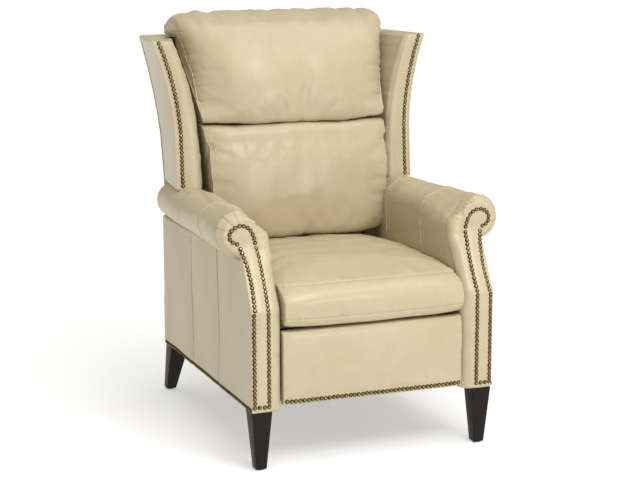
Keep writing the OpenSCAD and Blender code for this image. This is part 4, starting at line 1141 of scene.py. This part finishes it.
def rear_panel():
    """A thin upholstered panel between its CAD node's corners."""
    low, high = (chair(corner)[0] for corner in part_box("rear_panel"))
    z, x = face_grid(low[2], high[2], 40, low[0], high[0], 80)
    edge = np.minimum(np.minimum(x - low[0], high[0] - x), np.minimum(z - low[2], high[2] - z))
    p = np.stack([x, np.full_like(x, high[1]), z], -1)
    rise = 2.0 * (1 - fade(edge, 40)) - 3.0 * rounding(edge, 4)
    rise += 0.8 * field(p, 120, 90) * step(edge, 4, 30)
    inner = np.stack([x, np.full_like(x, low[1]), z], -1)
    add("rear_panel_leather", *shell(p + rise[..., None] * [0, 1, 0], inner), leather, "base",
        ("rear_panel",), 60)


outside_back()
back_lining()
rear_panel()


# Legs: tapered blocks with softened edges

LEG_TOP_Z, LEG_FOOT_Z, LEG_WIDE, LEG_NARROW = 160, 3, 55, 30
LEG_X, REAR_SPLAY = 315.5, 88
LEG_FRONTS = {"front": (2, 0), "rear": (733, REAR_SPLAY)}
BLOCK_FACES = ([0, 3, 2, 1], [4, 5, 6, 7], [0, 1, 5, 4], [1, 2, 6, 5], [2, 3, 7, 6], [3, 0, 4, 7])


def leg(side, end):
    y, splay = LEG_FRONTS[end]
    taper = (LEG_WIDE - LEG_NARROW) / 2
    mesh = bmesh.new()
    corners = []
    for wide, start, z in ((LEG_NARROW, y + taper + splay, LEG_FOOT_Z), (LEG_WIDE, y, LEG_TOP_Z)):
        low, high = side * LEG_X - wide / 2, side * LEG_X + wide / 2
        for x, depth in ((low, start), (high, start), (high, start + wide), (low, start + wide)):
            corners.append(mesh.verts.new(placed([x, depth, z])[0]))
    for ring in BLOCK_FACES:
        mesh.faces.new([corners[i] for i in ring])
    bmesh.ops.recalc_face_normals(mesh, faces=mesh.faces)
    bmesh.ops.bevel(mesh, geom=mesh.edges[:], offset=0.0022, segments=3, profile=0.5, affect="EDGES")
    place = "%s_%s" % (end, SIDE_NAMES[side])
    data = bpy.data.meshes.new("leg_wood_" + place)
    mesh.to_mesh(data)
    mesh.free()
    data.shade_smooth()
    data.set_sharp_from_angle(angle=math.radians(35))
    data.materials.append(espresso)
    obj = linked("leg_wood_" + place, data)
    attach(obj, "base")
    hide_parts("leg_" + place)


for side in SIDE_NAMES:
    for end in LEG_FRONTS:
        leg(side, end)


# Nails: one dome for each CAD nail, seated on the leather

NAIL_RADIUS, NAIL_HEIGHT, NAIL_SIDES = 6.0, 3.7, 14
# A dome from its rim up: share of its radius, share of its height
NAIL_PROFILE = ((1.0, 0), (1.0, 0.10), (0.97, 0.24), (0.88, 0.47), (0.70, 0.72), (0.45, 0.90), (0.2, 0.98))
NAIL_SEED = 11
PROBE, PROBE_REACH = 12, 24


def dome():
    """A nail head's points, faces and each point's share of its height."""
    turns = np.linspace(0, 2 * math.pi, NAIL_SIDES, endpoint=False)
    points = [[wide * NAIL_RADIUS * math.cos(a), wide * NAIL_RADIUS * math.sin(a), high * NAIL_HEIGHT]
              for wide, high in NAIL_PROFILE for a in turns] + [[0, 0, NAIL_HEIGHT]]
    rise = [high for _, high in NAIL_PROFILE for _ in turns] + [1.0]
    last = (len(NAIL_PROFILE) - 1) * NAIL_SIDES
    faces = grid_faces(len(NAIL_PROFILE), NAIL_SIDES, True)
    faces += [[last + j, last + (j + 1) % NAIL_SIDES, len(points) - 1] for j in range(NAIL_SIDES)]
    points = np.array(points)
    return points, outward(points, faces), np.array(rise)


def nail_groups(mesh, points):
    """The points of each separate nail in a CAD mesh, whose faces share no corners."""
    parent = list(range(len(points)))

    def find(i):
        while parent[i] != i:
            parent[i] = parent[parent[i]]
            i = parent[i]
        return i

    keys = {}
    for i, p in enumerate(points):
        parent[find(i)] = find(keys.setdefault(tuple(np.round(p, 2)), i))
    for edge in mesh.edges:
        a, b = edge.vertices
        parent[find(a)] = find(b)
    groups = {}
    for i in range(len(points)):
        groups.setdefault(find(i), []).append(i)
    return groups.values()


def nail_places(node):
    """Each nail's base centre and the way its dome points, from its CAD mesh."""
    mesh = nodes[node].data
    points = mesh_points(mesh)
    out = []
    for ids in nail_groups(mesh, points):
        p = np.unique(np.round(points[ids], 3), axis=0)
        middle = p.mean(0)
        off = p - middle
        way = np.linalg.svd(off)[2][2]
        along = off @ way
        wide = np.linalg.norm(off - np.outer(along, way), axis=1)
        if wide[along > along.max() - 0.3].max() > wide[along < along.min() + 0.3].max():
            way, along = -way, -along
        out.append((middle + way * along.min(), way))
    return out


def nails(part, body, skins):
    """Nail heads in place of a CAD node's nails, each a little askew, turned and off its place."""
    name = "nail_heads_" + part
    base, quads, rise = dome()
    rng = np.random.default_rng(NAIL_SEED + len(name))
    trees = [tree_of(mirrored(p, s), f) for p, f, s in skins]
    heads = []
    for centre, way in nail_places("nails_" + part):
        hits = [tree.ray_cast(Vector(centre + way * PROBE), Vector(-way)) for tree in trees]
        depths = [PROBE - hit[3] for hit in hits if hit[0] is not None and hit[3] < PROBE_REACH]
        depth = max(-2.5, min(3.0, max(depths))) if depths else 0.0
        first = unit(np.cross(way, [0.2, 0.3, 0.93]))
        second = np.cross(way, first)
        tilt = rng.normal(size=2) * 0.05
        up = unit(way + first * tilt[0] + second * tilt[1])
        first = unit(np.cross(up, second))
        second = np.cross(up, first)
        spin = rng.uniform(0, ANY_PHASE)
        a = math.cos(spin) * first + math.sin(spin) * second
        b = np.cross(up, a)
        size = rng.uniform(0.98, 1.01)
        at = centre + way * (depth - 0.4) + a * rng.normal() * 0.25 + b * rng.normal() * 0.25
        heads.append((at + size * (base[:, :1] * a + base[:, 1:2] * b + base[:, 2:] * up), quads))
    obj = add(name, *joined(heads), brass, body, ("nails_" + part,), slot="aged_brass")
    layer = obj.data.attributes.new("rise", "FLOAT", "POINT")
    layer.data.foreach_set("value", np.tile(rise, len(heads)))


for side, name in SIDE_NAMES.items():
    outside = [(*arms[side], side), (*sides[side], side)]
    nails("arm_" + name, "base", outside)
    nails("side_" + name, "base", outside)
    grid = wings[side]
    nails("wing_" + name, "back", [(grid.reshape(-1, 3), grid_faces(*grid.shape[:2], True), side)])
rest_faces = [list(p.vertices) for p in rest_piece.data.polygons]
nails("footrest", "footrest", [(mesh_points(rest_piece.data), rest_faces, 1)])


# CAD nodes that stay get their finish

slots = {entry["node"]: entry["material_slot"] for entry in frame["record"]["subparts"]}
for name, obj in nodes.items():
    obj.data.materials.clear()
    obj.data.materials.append(SLOT_STUFF.get(slots.get(name), black_steel))


# Floor and light

FLOOR_HALF = 30
AREA_LIGHTS = (("key", (0.1, -2.0, 2.2), (0, 0, 0.8), (0.9, 0.9), 22),
               ("window", (0.7, -3.1, 0.86), (0, 0, 0.75), (0.5, 0.6), 14))
SUN_WAY, SUN_POWER, SUN_SPREAD = (-0.35, 0.95, -2.5), 1.7, 60


def aimed(light, way):
    light.rotation_euler = Vector(way).to_track_quat("-Z", "Y").to_euler()


def studio():
    mesh = bpy.data.meshes.new("floor")
    corners = [(x * FLOOR_HALF, y * FLOOR_HALF, 0) for x, y in ((-1, -1), (1, -1), (1, 1), (-1, 1))]
    mesh.from_pydata(corners, [], [(0, 1, 2, 3)])
    mat, tree, shader, _ = material("floor_white_glowing", (0.64, 0.64, 0.64), 0.9)
    # The floor glows a little though it is no lamp: painted light that lifts the shadow under the chair and
    # lights its lower sides
    put(tree, shader, {"Specular IOR Level": 0.1, "Emission Color": (0.95, 0.98, 1, 1),
                       "Emission Strength": 0.43})
    mesh.materials.append(mat)
    linked("floor", mesh)
    world = bpy.data.worlds.new("studio")
    world.use_nodes = True
    background = world.node_tree.nodes["Background"]
    put(world.node_tree, background, {"Color": (1, 0.945, 0.83, 1), "Strength": 0.50})
    bpy.context.scene.world = world
    sun = bpy.data.lights.new("sky", "SUN")
    sun.energy, sun.angle = SUN_POWER, math.radians(SUN_SPREAD)
    aimed(linked("sky", sun), SUN_WAY)
    for name, place, target, size, power in AREA_LIGHTS:
        data = bpy.data.lights.new(name, "AREA")
        data.shape, data.size, data.size_y, data.energy = "RECTANGLE", *size, power
        light = linked(name, data)
        light.location = place
        aimed(light, Vector(target) - Vector(place))


studio()
bpy.context.scene.view_settings.view_transform = "Standard"
